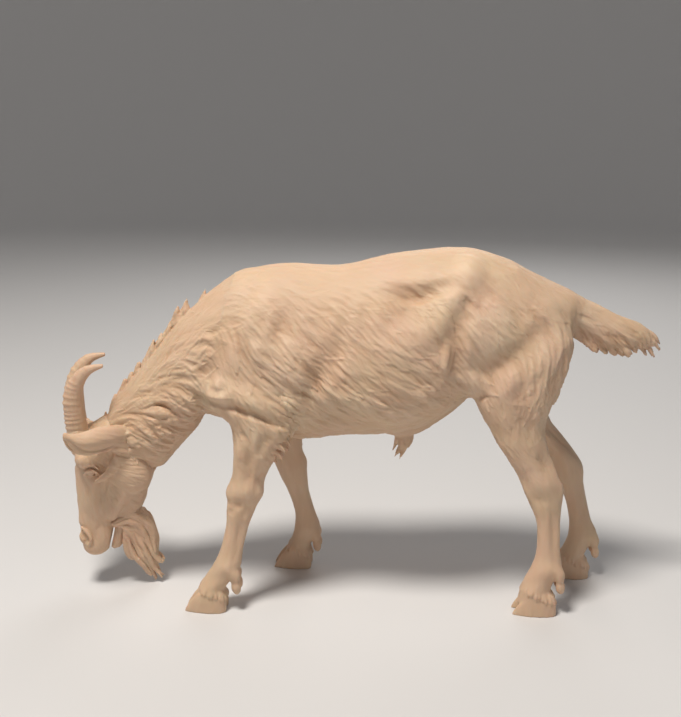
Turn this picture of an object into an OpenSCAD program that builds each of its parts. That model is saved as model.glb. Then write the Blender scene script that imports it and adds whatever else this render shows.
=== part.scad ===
// Grazing billy goat: a cast resin figure in fitted pieces, pinned and glued together.
// Millimetres. +Z up, the head towards -X, the animal's left side towards -Y,
// the origin on the ground under the middle of the figure.

/* [Animal] */
// Height of the withers above the ground
withers_h = 88.5; // [80:0.5:100]
// Greatest width of the belly
belly_w = 34; // [30:1:38]
// Width of the head across the eyes
brow_w = 14; // [12:0.5:16]
// Width of the neck where it meets the shoulders
neck_w = 25; // [22:1:28]
// Turn of the head to its own left, in degrees
head_turn = 7; // [0:1:12]

/* [Feet] */
// Distance between the front feet, centre to centre
front_stance = 27; // [25:0.5:30]
// Distance between the hind feet, centre to centre
hind_stance = 22; // [20:0.5:25]
// Width of one claw of a hoof
claw_w = 3.2; // [2.8:0.1:3.4]
// Gap between the two claws of a hoof
claw_gap = 0.5; // [0.3:0.1:0.9]

/* [Pins] */
// Diameter of the steel wire in each leg
wire_d = 1.5; // [1:0.1:1.6]
// Diameter of the brass dowels in the neck
dowel_d = 2; // [1.5:0.1:2.4]
// Diameter of the fine brass pins in the horns and the tail
fine_pin_d = 1; // [0.8:0.1:1.2]
// Glue space around a pin, on the radius
glue_gap = 0.05; // [0.03:0.01:0.1]

/* [Mesh] */
// Sides of the trunk, neck and head sections
body_sides = 32; // [24:4:40]
// Sides of the leg, horn and ear sections
limb_sides = 16; // [12:4:20]
// Sides of the claws, dewclaws and locks of hair
fine_sides = 10; // [8:2:12]
// Rings between one station and the next
steps = 3; // [2:1:4]

/* [Hidden] */

resin = [0.86, 0.69, 0.54];
brass = [0.80, 0.64, 0.32];
steel = [0.66, 0.67, 0.70];

// The stations below are written for withers 88.5 mm high, and grow with withers_h.
u = withers_h / 88.5;
belly = belly_w / 2;
brow = brow_w / 2;
neck_half = neck_w / 2;
front_y = front_stance / 2;
hind_y = hind_stance / 2;
left = -1;
right = 1;
bend_lap = 0.4; // length of wire past the corner of a bend
foot_shift = -3.75; // puts the middle of the whole figure over the origin

// ---------- sections and lofts ----------
// A station is [x, y, z, tilt, depth, width, egg]. Its section is an ellipse in the plane whose
// normal leans tilt degrees up from +X: depth is half its height in the middle plane of the animal,
// width is half its breadth along Y, and egg widens the lower side and narrows the upper one.
// An eighth number, bow, bends a thin section into a curved shell.
function spline(a, b, c, d, t) =
    (b * 2 + (c - a) * t + (a * 2 - b * 5 + c * 4 - d) * t * t
     + (b * 3 - a - c * 3 + d) * t * t * t) / 2;

function flow(stations, n = steps) = [
    for (i = [0 : len(stations) - 2], j = [0 : n - 1])
        spline(stations[max(i - 1, 0)], stations[i], stations[i + 1],
               stations[min(i + 2, len(stations) - 1)], j / n),
    stations[len(stations) - 1]
];

function section(s, sides) = [
    for (k = [0 : sides - 1])
        let (a = 360 * k / sides, up = s[4] * cos(a), bow = len(s) > 7 ? s[7] : 0)
        [s[0] - sin(s[3]) * up,
         s[1] + s[5] * (1 - s[6] * cos(a)) * sin(a) + bow * sin(a) * sin(a),
         s[2] + cos(s[3]) * up] * u
];

module loft(stations, sides = limb_sides, n = steps) {
    rings = flow(stations, n);
    last = len(rings) - 1;
    skin = [for (r = rings) each section(r, sides)];
    ends = [for (i = [0, last]) [rings[i][0], rings[i][1], rings[i][2]] * u];
    first_end = len(skin);
    polyhedron(
        points = concat(skin, ends),
        faces = concat(
            [for (i = [0 : last - 1], k = [0 : sides - 1])
                let (a = i * sides + k, b = i * sides + (k + 1) % sides)
                each [[a, b, b + sides], [a, b + sides, a + sides]]],
            [for (k = [0 : sides - 1]) [first_end, (k + 1) % sides, k]],
            [for (k = [0 : sides - 1])
                [first_end + 1, last * sides + k, last * sides + (k + 1) % sides]]
        )
    );
}

// Joins or trims organic shapes as one mesh.
module clay() resize([0, 0, 0]) children();

// A round rod from one point to another.
module rod(from, to, d, extra = 0) {
    way = (to - from) * u;
    long = norm(way);
    translate(from * u)
        rotate([0, acos(way.z / long), atan2(way.y, way.x)])
            translate([0, 0, -extra])
                cylinder(h = long + extra * 2, d = d, $fn = 32);
}

module bore(from, to, d) rod(from, to, d + glue_gap * 2, glue_gap);

// ---------- trunk ----------
trunk_stations = [
    [-30.7, 0, 68.2, -12.9, 18.7, neck_half, 0.06],
    [-22, 0, 67.4, -5, 20.9, neck_half + 0.8, 0.04],
    [-12, 0, 66.2, 0, 22.9, belly - 2.2, 0.04],
    [0, 0, 66.7, 0, 22.0, belly - 1, 0.10],
    [12, 0, 68.5, 0, 23.0, belly, 0.14],
    [22, 0, 70.3, 0, 22.5, belly - 0.5, 0.14],
    [31, 0, 73.6, 0, 19.6, belly - 2.6, 0.10],
    [40, 0, 74.8, -3, 16.0, belly - 4.6, 0.04],
    [49, 0, 74.6, -8, 11.4, belly - 7.2, 0],
    [56, 0, 75.6, -15, 7.3, belly - 10.4, 0],
    [59, 0, 76.0, -20, 4.9, 3.6, 0]
];
sheath_stations = [
    [9, 0, 47.6, -4, 1.6, 1.6, 0],
    [14, 0, 46.6, 0, 2.6, 2.2, 0],
    [20, 0, 47.2, 10, 2.4, 2.1, 0],
    [27, 0, 51.5, 30, 1.8, 1.8, 0],
    [33, 0, 57, 35, 1.2, 1.4, 0]
];

// Shoulder and haunch are sections from the leg's seam up to the back.
seam_front = 49;
seam_hind = 47;
function shoulder_stations(side) = [
    [-18.8, side * 11.6, seam_front, 90, 7.3, 4.6, 0],
    [-21.0, side * 11.2, 54, 90, 9.6, 5.2, 0],
    [-22.6, side * 10.2, 61, 90, 10.2, 5.2, 0],
    [-22.0, side * 8.8, 70, 90, 9.0, 5.0, 0],
    [-19.0, side * 6.0, 79, 90, 6.5, 4.0, 0],
    [-17.5, side * 3.6, 85, 90, 3.5, 2.2, 0]
];
function haunch_stations(side, back) = [
    [45.3 + back, side * 9.2, seam_hind, 90, 6.4, 4.5, 0],
    [44.1 + back * 0.8, side * 9.1, 51.5, 90, 7.6, 5.3, 0],
    [43.6 + back * 0.5, side * 8.8, 57, 90, 10.0, 6.0, 0],
    [43.4, side * 8.0, 64, 90, 13.0, 6.4, 0],
    [44.0, side * 6.8, 72, 90, 13.6, 6.0, 0],
    [41.0, side * 5.4, 79.5, 90, 11.0, 5.0, 0],
    [37.0, side * 4.0, 87, 90, 6.5, 3.2, 0]
];
far_haunch_back = 3.6;

// A lock of hair from root to tip, bulging towards the side named by sag, thick at the root.
module lock(root, tip, thick, sag) {
    way = tip - root;
    tilt = atan2(way.z, way.x);
    middle = root + way * 0.55 + [-sin(tilt), 0, cos(tilt)] * sag;
    loft([
        [root.x, root.y, root.z, tilt, thick, thick * 0.7, 0],
        [middle.x, middle.y, middle.z, tilt, thick * 0.7, thick * 0.5, 0],
        [tip.x, tip.y, tip.z, tilt, 0.15, 0.15, 0]
    ], fine_sides, 2);
}

module trunk_form() loft(trunk_stations, body_sides);
module body_form() {
    trunk_form();
    loft(sheath_stations);
    for (side = [left, right]) loft(shoulder_stations(side));
    loft(haunch_stations(left, 0));
    loft(haunch_stations(right, far_haunch_back));
}

// ---------- neck and head ----------
poll = [-56.6, 0, 41.0, 37.9, 8.9, 6.6, 0.05];
neck_stations = [
    [-57.6, 0, 39.7, 37.9, 8.3, 6.2, 0.05],
    poll,
    [-51.8, 0, 46.0, 22, 12.0, 7.7, 0.10],
    [-46.3, 0, 52.3, 13, 13.0, 8.7, 0.12],
    [-39.6, 0, 60.2, 4, 15.1, 10.3, 0.12],
    trunk_stations[0]
];
head_stations = [
    [-65.6, 0, 9.4, 90, 2.2, 1.9, 0],
    [-66.1, 0, 11, 90, 3.8, 3.0, 0],
    [-66.4, 0, 13.4, 90, 4.6, 3.7, 0],
    [-66.4, 0, 16.5, 90, 4.8, 3.7, 0],
    [-65.5, 0, 21, 89, 5.7, 4.1, -0.04],
    [-63.8, 0, 25.5, 86, 7.7, 5.1, -0.10],
    [-61.7, 0, 30, 81, 9.9, brow - 0.8, -0.16],
    [-60.9, 0, 34.6, 70, 11.0, brow, -0.18],
    [-59.9, 0, 38.6, 56, 10.6, brow - 0.4, -0.08],
    poll,
    [-55.8, 0, 41.8, 37.9, 5.5, 4.0, 0]
];
eye = [-66.2, 4.7, 33.8];
eye_d = 3;
jaw_stations = [
    [-61.4, 0, 10.0, 80, 0.9, 1.4, 0],
    [-60.8, 0, 11.8, 80, 1.6, 2.2, 0],
    [-60.2, 0, 15, 76, 2.0, 2.6, 0],
    [-58.4, 0, 19, 72, 2.9, 3.0, 0],
    [-56.8, 0, 22.5, 72, 3.6, 3.5, 0],
    [-56.0, 0, 25.5, 72, 4.0, 4.0, 0]
];
beard_stations = [
    [-50.0, 0, 1.0, 90, 0.5, 0.4, 0],
    [-51.8, 0, 4.5, 90, 2.0, 1.7, 0],
    [-54.2, 0, 8.5, 90, 3.2, 2.3, 0],
    [-54.9, 0, 12.5, 90, 3.7, 2.8, 0],
    [-55.6, 0, 16.5, 88, 4.3, 3.2, 0],
    [-56.4, 0, 20.5, 80, 4.2, 3.3, 0]
];
beard_locks = [
    [[-56.6, -0.7, 9.5], [-54.8, -0.5, 3.8]],
    [[-52.0, 0.7, 9], [-48.8, 0.5, 4.8]]
];

// Growth rings of a horn: each one is a low collar round the core, closer together near the base.
horn_rings = 8; // rings on each horn
ring_height = 0.25; // how far a ring stands out
function horn_core(side) = [
    [-68.6, side * 2.6, 41.5, 86, 2.5, 1.9, 0],
    [-69.2, side * 3.0, 46, 94, 2.7, 2.0, 0],
    [-69.9, side * 3.5, 51, 92, 2.5, 1.8, 0],
    [-69.4, side * 4.1, 55.6, 80, 2.1, 1.6, 0],
    [-67.8, side * 4.7, 59.8, 62, 1.7, 1.3, 0],
    [-64.8, side * 5.2, 62.9, 36, 1.1, 1.0, 0],
    [-61.2, side * 5.4, 63.8, 0, 0.5, 0.5, 0]
];
function horn_stations(side) =
    let (core = flow(horn_core(side), 6), last = len(core) - 1)
    [for (i = [0 : last])
        let (c = core[i], ringed = i < horn_rings * 3 && i % 3 == 1, out = ringed ? ring_height : 0)
        [c[0], c[1], c[2], c[3], c[4] + out, c[5] + out, 0]];
// The right ear hangs lower than the left one. Both are bowed outwards, hollow side inwards.
function ear_stations(side) =
    let (droop = side == right ? 1 : 0) [
        [-70.9, side * 13.6, 45.0 - droop * 7, 184, 0.4, 0.3, 0, 0],
        [-69.2, side * 12.8, 44.4 - droop * 6, 184, 1.7, 0.5, 0, side * 0.5],
        [-66.0, side * 11.2, 43.9 - droop * 4.4, 182, 2.8, 0.6, 0, side * 1.2],
        [-62.2, side * 9.4, 44.2 - droop * 3, 180, 3.4, 0.7, 0, side * 1.4],
        [-58.6, side * 7.8, 44.5 - droop * 1.6, 178, 2.9, 0.9, 0, side * 0.9],
        [-56.0, side * 5.6, 44.4 - droop, 175, 2.0, 1.3, 0, side * 0.3]
    ];

crest_locks = [
    [[-60.2, 0, 47.8], [-61.9, 0, 48.8]],
    [[-57.4, 0, 49.5], [-58.9, 0, 53.4]],
    [[-54.6, 0, 53.5], [-56.2, 0, 57.6]],
    [[-51.0, 0, 57.5], [-52.3, 0, 62.0]],
    [[-47.0, 0, 63.5], [-48.3, 0, 67.8]],
    [[-42.4, 0, 68.5], [-43.6, 0, 72.9]],
    [[-40.2, 0, 72.5], [-41.5, 0, 76.9]],
    [[-37.8, 0, 74.5], [-39.2, 0, 78.8]],
    [[-33.0, 0, 77.5], [-34.4, 0, 81.4]]
];

// Everything on the head turns about an upright line through the middle of the poll.
module turned() translate([poll[0], 0, 0] * u) rotate([0, 0, head_turn])
    translate([-poll[0], 0, 0] * u) children();

module neck_form() loft(neck_stations, body_sides);
module head_form() {
    loft(head_stations, body_sides);
    for (side = [left, right])
        translate([eye.x, side * eye.y, eye.z] * u) sphere(d = eye_d * u, $fn = 16);
}
module jaw_form() loft(jaw_stations);

// ---------- tail and belly ----------
tail_root = trunk_stations[10];
tail_stations = [
    tail_root,
    [63.5, 0, 74.2, -15, 5.0, 3.3, 0.1],
    [68, 0, 72.4, -12, 4.9, 3.2, 0.1],
    [72.5, 0, 71.2, -14, 4.3, 2.8, 0.1],
    [76.4, 0, 70.2, -30, 2.9, 2.1, 0],
    [79.8, 0, 67.8, -50, 0.8, 0.7, 0]
];
tail_locks = [
    [[62, -1.2, 71], [64.8, -1.0, 67.6]],
    [[65, 1.2, 70.4], [68.6, 1.0, 66.8]],
    [[68, -1.2, 69.4], [71.6, -1.0, 66.0]],
    [[71.5, 0.8, 68.8], [75.8, 0.6, 66.2]],
    [[74.5, 0, 69.4], [79.0, -0.4, 66.0]]
];
tuft_stations = [
    [14.2, 0, 38.2, 90, 0.6, 0.5, 0],
    [14.8, 0, 41, 85, 1.4, 1.1, 0],
    [15.8, 0, 44.5, 80, 1.9, 1.4, 0],
    [16.6, 0, 47.5, 80, 2.2, 1.6, 0]
];

// ---------- legs ----------
// The claws stand flat on the ground; the ankle section sinks into them.
function front_left_stations() = [
    [-33.2, -front_y, 2.6, 90, 3.6, 3.0, 0.1],
    [-33.1, -front_y, 6, 90, 4.0, 3.3, 0],
    [-30.5, -front_y + 0.2, 9.4, 90, 3.7, 3.1, 0],
    [-28.7, -front_y + 0.4, 12.4, 90, 3.6, 3.1, 0],
    [-27.5, -front_y + 0.7, 16.5, 90, 2.9, 2.6, 0],
    [-25.9, -front_y + 1.1, 23, 90, 2.9, 2.5, 0],
    [-24.8, -front_y + 1.4, 28, 90, 3.8, 3.4, 0],
    [-24.0, -front_y + 1.6, 31.4, 90, 4.4, 3.7, 0],
    [-22.8, -front_y + 1.8, 36, 90, 4.2, 3.5, 0],
    [-20.9, -front_y + 1.9, 42, 90, 5.4, 4.1, 0],
    [-18.8, -11.6, seam_front, 90, 7.3, 4.6, 0]
];
function front_right_stations() = [
    [-13.2, front_y, 2.6, 90, 3.6, 3.0, 0.1],
    [-12.8, front_y, 6, 90, 3.5, 3.3, 0],
    [-11.0, front_y - 0.1, 9.2, 90, 3.3, 3.1, 0],
    [-10.1, front_y - 0.3, 12, 90, 3.6, 3.1, 0],
    [-10.7, front_y - 0.6, 16.5, 90, 2.8, 2.6, 0],
    [-12.4, front_y - 1.0, 22.5, 90, 2.8, 2.5, 0],
    [-13.7, front_y - 1.3, 27.5, 90, 3.7, 3.4, 0],
    [-14.4, front_y - 1.5, 31, 90, 4.1, 3.7, 0],
    [-15.4, front_y - 1.6, 36, 90, 4.1, 3.5, 0],
    [-16.8, front_y - 1.7, 42, 90, 5.4, 4.1, 0],
    [-18.8, 11.6, seam_front, 90, 7.3, 4.6, 0]
];
function hind_left_stations() = [
    [50.4, -hind_y, 2.6, 90, 4.0, 3.0, 0.1],
    [50.5, -hind_y, 6, 90, 4.3, 3.3, 0],
    [52.0, -hind_y + 0.1, 9.2, 90, 3.8, 3.1, 0],
    [53.6, -hind_y + 0.2, 12.4, 90, 3.9, 3.1, 0],
    [53.9, -hind_y + 0.4, 17, 90, 3.0, 2.6, 0],
    [53.5, -hind_y + 0.6, 24.5, 90, 2.9, 2.5, 0],
    [52.5, -hind_y + 0.8, 30, 84, 4.1, 3.1, 0],
    [51.4, -hind_y + 1.0, 35, 76, 5.8, 3.6, 0],
    [49.3, -hind_y + 1.2, 39.4, 66, 6.7, 3.7, 0],
    [46.9, -hind_y + 1.5, 43.2, 74, 6.3, 4.0, 0],
    [45.3, -9.2, seam_hind, 90, 6.4, 4.5, 0]
];
function hind_right_stations() = [
    [63.0, hind_y, 2.6, 90, 4.0, 3.0, 0.1],
    [63.6, hind_y, 6, 90, 3.8, 3.3, 0],
    [65.3, hind_y - 0.1, 9.2, 90, 3.5, 3.1, 0],
    [66.7, hind_y - 0.2, 12.6, 90, 3.9, 3.1, 0],
    [65.7, hind_y - 0.4, 17, 92, 3.0, 2.6, 0],
    [64.2, hind_y - 0.6, 23, 94, 2.8, 2.5, 0],
    [62.4, hind_y - 0.8, 28, 92, 3.5, 3.1, 0],
    [60.9, hind_y - 1.0, 32.4, 80, 4.9, 3.6, 0],
    [59.0, hind_y - 1.2, 37.2, 66, 5.8, 3.7, 0],
    [54.7, hind_y - 1.5, 42, 68, 6.2, 4.0, 0],
    [45.3 + far_haunch_back, 9.2, seam_hind, 90, 6.4, 4.5, 0]
];
// A claw, from its sole up into the ankle. toe is the sole's front end along X.
function claw_stations(toe, long, y) =
    let (w = claw_w / 2) [
        [toe + long / 2, y, 0, 90, long / 2, w, 0.34],
        [toe + long / 2 + 0.3, y, 1.2, 90, long / 2 - 0.2, w, 0.30],
        [toe + long / 2 + 0.9, y, 3.2, 90, long / 2 - 0.9, w * 0.98, 0.16],
        [toe + long / 2 + 1.5, y, 5.2, 90, long / 2 - 2.0, w * 0.86, 0]
    ];
function dewclaw_stations(x, z, y) = [
    [x + 0.2, y, z - 4.4, 100, 0.5, 0.5, 0],
    [x, y, z - 2.6, 96, 1.0, 0.9, 0],
    [x - 0.4, y, z - 0.8, 80, 1.5, 1.2, 0],
    [x - 2.0, y, z + 1.0, 60, 1.6, 1.2, 0]
];

module leg_form(stations, toe, long, dewclaw) {
    foot_y = stations[0][1];
    clay() difference() {
        union() {
            loft(stations);
            for (side = [left, right]) {
                loft(claw_stations(toe, long, foot_y + side * (claw_w + claw_gap) / 2),
                     fine_sides * 2, 2);
                loft(dewclaw_stations(dewclaw.x, dewclaw.y, foot_y + side * 1.5),
                     fine_sides, 2);
            }
        }
        trunk_form();
    }
}

// ---------- pins and wires ----------
front_left_bones = [[-16.2, -10.2, 58.5], [-28.4, -front_y + 0.5, 13]];
front_right_bones = [[-20.8, 10.2, 58.5], [-10.4, front_y - 0.4, 13]];
hind_left_bones = [[40.6, -8.8, 56], [52.2, -hind_y + 1.0, 34.6], [53.8, -hind_y + 0.3, 13]];
hind_right_bones = [[42.0, 8.8, 55], [60.9, hind_y - 1.0, 32.2], [66.2, hind_y - 0.3, 13.5]];
neck_dowel_ends = [for (z = [75, 60]) [[-38.5, 0, z - 2], [-23.5, 0, z + 2]]];
head_dowel_ends = [[-60.5, 0, 37.5], [-52.5, 0, 44.5]];
function horn_pin_ends(side) = [[-68.2, side * 2.5, 38.6], [-69.0, side * 3.2, 47.4]];
tail_pin_ends = [[54, 0, 77.6], [64, 0, 74.6]];

// A bent wire is two straight lengths that run a little past each other at the bend.
module wire(points, d, extra = 0) {
    for (i = [0 : len(points) - 2])
        rod(points[i], points[i + 1], d, extra);
}
module channel(points) wire(points, wire_d + glue_gap * 2, bend_lap + glue_gap);

// ---------- the pieces ----------
module torso() color(resin) difference() {
    clay() body_form();
    for (ends = neck_dowel_ends) bore(ends[0], ends[1], dowel_d);
    bore(tail_pin_ends[0], tail_pin_ends[1], fine_pin_d);
    for (points = [front_left_bones, front_right_bones, hind_left_bones, hind_right_bones])
        rod(points[0], points[1], wire_d + glue_gap * 2, bend_lap + glue_gap);
}
module neck() color(resin) difference() {
    clay() difference() {
        union() {
            neck_form();
            for (ends = crest_locks) lock(ends[0], ends[1], 1.6, 0.4);
        }
        turned() head_form();
    }
    for (ends = neck_dowel_ends) bore(ends[0], ends[1], dowel_d);
    bore(head_dowel_ends[0], head_dowel_ends[1], dowel_d);
}
module head() color(resin) difference() {
    turned() difference() {
        clay() head_form();
        for (side = [left, right])
            bore(horn_pin_ends(side)[0], horn_pin_ends(side)[1], fine_pin_d);
    }
    bore(head_dowel_ends[0], head_dowel_ends[1], dowel_d);
}
module lower_jaw() color(resin) clay() turned() difference() {
    jaw_form();
    head_form();
}
module beard() color(resin) clay() turned() difference() {
    union() {
        loft(beard_stations);
        for (ends = beard_locks) lock(ends[0], ends[1], 1.6, -0.4);
    }
    head_form();
    jaw_form();
}
module horn(side) color(resin) turned() difference() {
    clay() difference() {
        loft(horn_stations(side), limb_sides, 1);
        head_form();
    }
    bore(horn_pin_ends(side)[0], horn_pin_ends(side)[1], fine_pin_d);
}
module ear(side) color(resin) clay() difference() {
    turned() difference() {
        loft(ear_stations(side));
        head_form();
    }
    neck_form();
}
module tail() color(resin) difference() {
    clay() difference() {
        union() {
            loft(tail_stations);
            for (ends = tail_locks) lock(ends[0], ends[1], 1.7, -0.5);
        }
        body_form();
    }
    bore(tail_pin_ends[0], tail_pin_ends[1], fine_pin_d);
}
module belly_tuft() color(resin) clay() difference() {
    loft(tuft_stations, fine_sides, 2);
    trunk_form();
}
module front_left_leg() color(resin) difference() {
    leg_form(front_left_stations(), -39.8, 10.8, [-25.9, 9]);
    channel(front_left_bones);
}
module front_right_leg() color(resin) difference() {
    leg_form(front_right_stations(), -19.6, 10.6, [-7.0, 9]);
    channel(front_right_bones);
}
module hind_left_leg() color(resin) difference() {
    leg_form(hind_left_stations(), 45.2, 11, [57.4, 10]);
    channel(hind_left_bones);
}
module hind_right_leg() color(resin) difference() {
    leg_form(hind_right_stations(), 57.6, 11, [70.4, 10]);
    channel(hind_right_bones);
}
module leg_wire(points) color(steel) wire(points, wire_d, bend_lap);
module neck_dowels() color(brass)
    for (ends = neck_dowel_ends) rod(ends[0], ends[1], dowel_d);
module head_dowel() color(brass) rod(head_dowel_ends[0], head_dowel_ends[1], dowel_d);
module horn_pins() color(brass) turned()
    for (side = [left, right]) rod(horn_pin_ends(side)[0], horn_pin_ends(side)[1], fine_pin_d);
module tail_pin() color(brass) rod(tail_pin_ends[0], tail_pin_ends[1], fine_pin_d);

module placed() translate([foot_shift * u, 0, 0]) children();

placed() torso();
placed() neck();
placed() head();
placed() lower_jaw();
placed() beard();
placed() horn(left);  // left_horn
placed() horn(right);  // right_horn
placed() ear(left);  // left_ear
placed() ear(right);  // right_ear
placed() tail();
placed() belly_tuft();
placed() front_left_leg();
placed() front_right_leg();
placed() hind_left_leg();
placed() hind_right_leg();
placed() leg_wire(front_left_bones);  // front_left_wire
placed() leg_wire(front_right_bones);  // front_right_wire
placed() leg_wire(hind_left_bones);  // hind_left_wire
placed() leg_wire(hind_right_bones);  // hind_right_wire
placed() neck_dowels();
placed() head_dowel();
placed() horn_pins();
placed() tail_pin();
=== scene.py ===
"""Looks of a grazing billy goat, cast in resin, round its CAD frame.

Each region is modelled as clay: a block of samples that hold the distance to the surface in millimetres,
negative inside. Lofts and locks of hair are blended in it and it is meshed. Muscles and the coat are then
pushed and combed into the mesh, which is parted at the seams of the castings. Everything is in the CAD's
millimetres until it becomes an object.
"""

import itertools
import math

import bpy
import numpy as np
import openvdb as vdb
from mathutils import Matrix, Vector


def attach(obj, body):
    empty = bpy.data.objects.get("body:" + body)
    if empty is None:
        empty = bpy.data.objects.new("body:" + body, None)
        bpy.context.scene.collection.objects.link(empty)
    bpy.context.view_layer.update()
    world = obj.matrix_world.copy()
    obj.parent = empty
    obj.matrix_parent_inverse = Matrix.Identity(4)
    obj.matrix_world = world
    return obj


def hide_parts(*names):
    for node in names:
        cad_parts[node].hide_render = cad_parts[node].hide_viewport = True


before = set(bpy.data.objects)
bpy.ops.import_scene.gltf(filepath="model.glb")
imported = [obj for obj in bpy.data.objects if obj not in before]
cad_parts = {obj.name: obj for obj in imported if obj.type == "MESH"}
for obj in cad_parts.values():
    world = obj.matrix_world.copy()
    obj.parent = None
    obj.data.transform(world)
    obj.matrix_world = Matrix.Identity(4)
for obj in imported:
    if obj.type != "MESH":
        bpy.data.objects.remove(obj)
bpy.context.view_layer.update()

MM = 0.001  # metres in a millimetre
FOOT_SHIFT = -3.75  # along X, puts the middle of the whole figure over the origin
HEAD_TURN = 7.0  # degrees, to the animal's own left
POLL_X = -56.6  # the head turns about the upright line through here
FAR = 3.0  # distances are kept within this many mm of the surface
THINNEST = 0.05  # radius of a tube's thinnest end
LEFT, RIGHT = -1, 1

BODY_STEP = 0.27
HEAD_STEP = 0.17
SMALL_STEP = 0.16


# ---------- lofts ----------
STATION_SIZE = 8  # x, y, z, tilt, depth, width, egg, bow
CURVE_STEPS = 4  # from one point of a path to the next


def flow(stations, n):
    """Catmull-Rom curve through the stations, n steps from one to the next. Numbers left out are 0."""
    s = np.array([tuple(r) + (0.0,) * (STATION_SIZE - len(r)) for r in stations], float)
    last = len(s) - 1
    rows = []
    for i in range(last):
        a, b, c, d = s[max(i - 1, 0)], s[i], s[i + 1], s[min(i + 2, last)]
        for j in range(n):
            t = j / n
            rows.append((b * 2 + (c - a) * t + (a * 2 - b * 5 + c * 4 - d) * t * t
                         + (b * 3 - a - c * 3 + d) * t ** 3) / 2)
    rows.append(s[last])
    return np.array(rows)


def loft(stations, sides, n):
    """Points and triangles of the closed skin over the stations."""
    rows = flow(stations, n)
    a = np.linspace(0, 2 * np.pi, sides, endpoint=False)[None]
    x, y, z, tilt, depth, width, egg, bow = (rows[:, i, None] for i in range(STATION_SIZE))
    tilt = np.radians(tilt)
    up = depth * np.cos(a)
    skin = np.stack([
        x - np.sin(tilt) * up,
        y + width * (1 - egg * np.cos(a)) * np.sin(a) + bow * np.sin(a) ** 2,
        z + np.cos(tilt) * up], axis=-1)
    rings = len(rows)
    points = np.concatenate([skin.reshape(-1, 3), rows[[0, -1], :3]])
    k = np.arange(sides)
    k1 = (k + 1) % sides
    faces = []
    for i in range(rings - 1):
        b, c = i * sides, (i + 1) * sides
        faces += [np.stack([b + k, b + k1, c + k1], 1), np.stack([b + k, c + k1, c + k], 1)]
    first, second = rings * sides, rings * sides + 1
    faces.append(np.stack([np.full(sides, first), k1, k], 1))
    b = (rings - 1) * sides
    faces.append(np.stack([np.full(sides, second), b + k, b + k1], 1))
    return points, np.concatenate(faces)


# ---------- clay ----------
def soft_min(a, b, k):
    """The smaller of two distances, rounded over k where they are alike."""
    h = np.maximum(k - np.abs(a - b), 0) / k
    return np.minimum(a, b) - h * h * (k / 4)


def soft_max(a, b, k):
    """The larger of two distances, rounded over k where they are alike."""
    return -soft_min(-a, -b, k)


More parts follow.
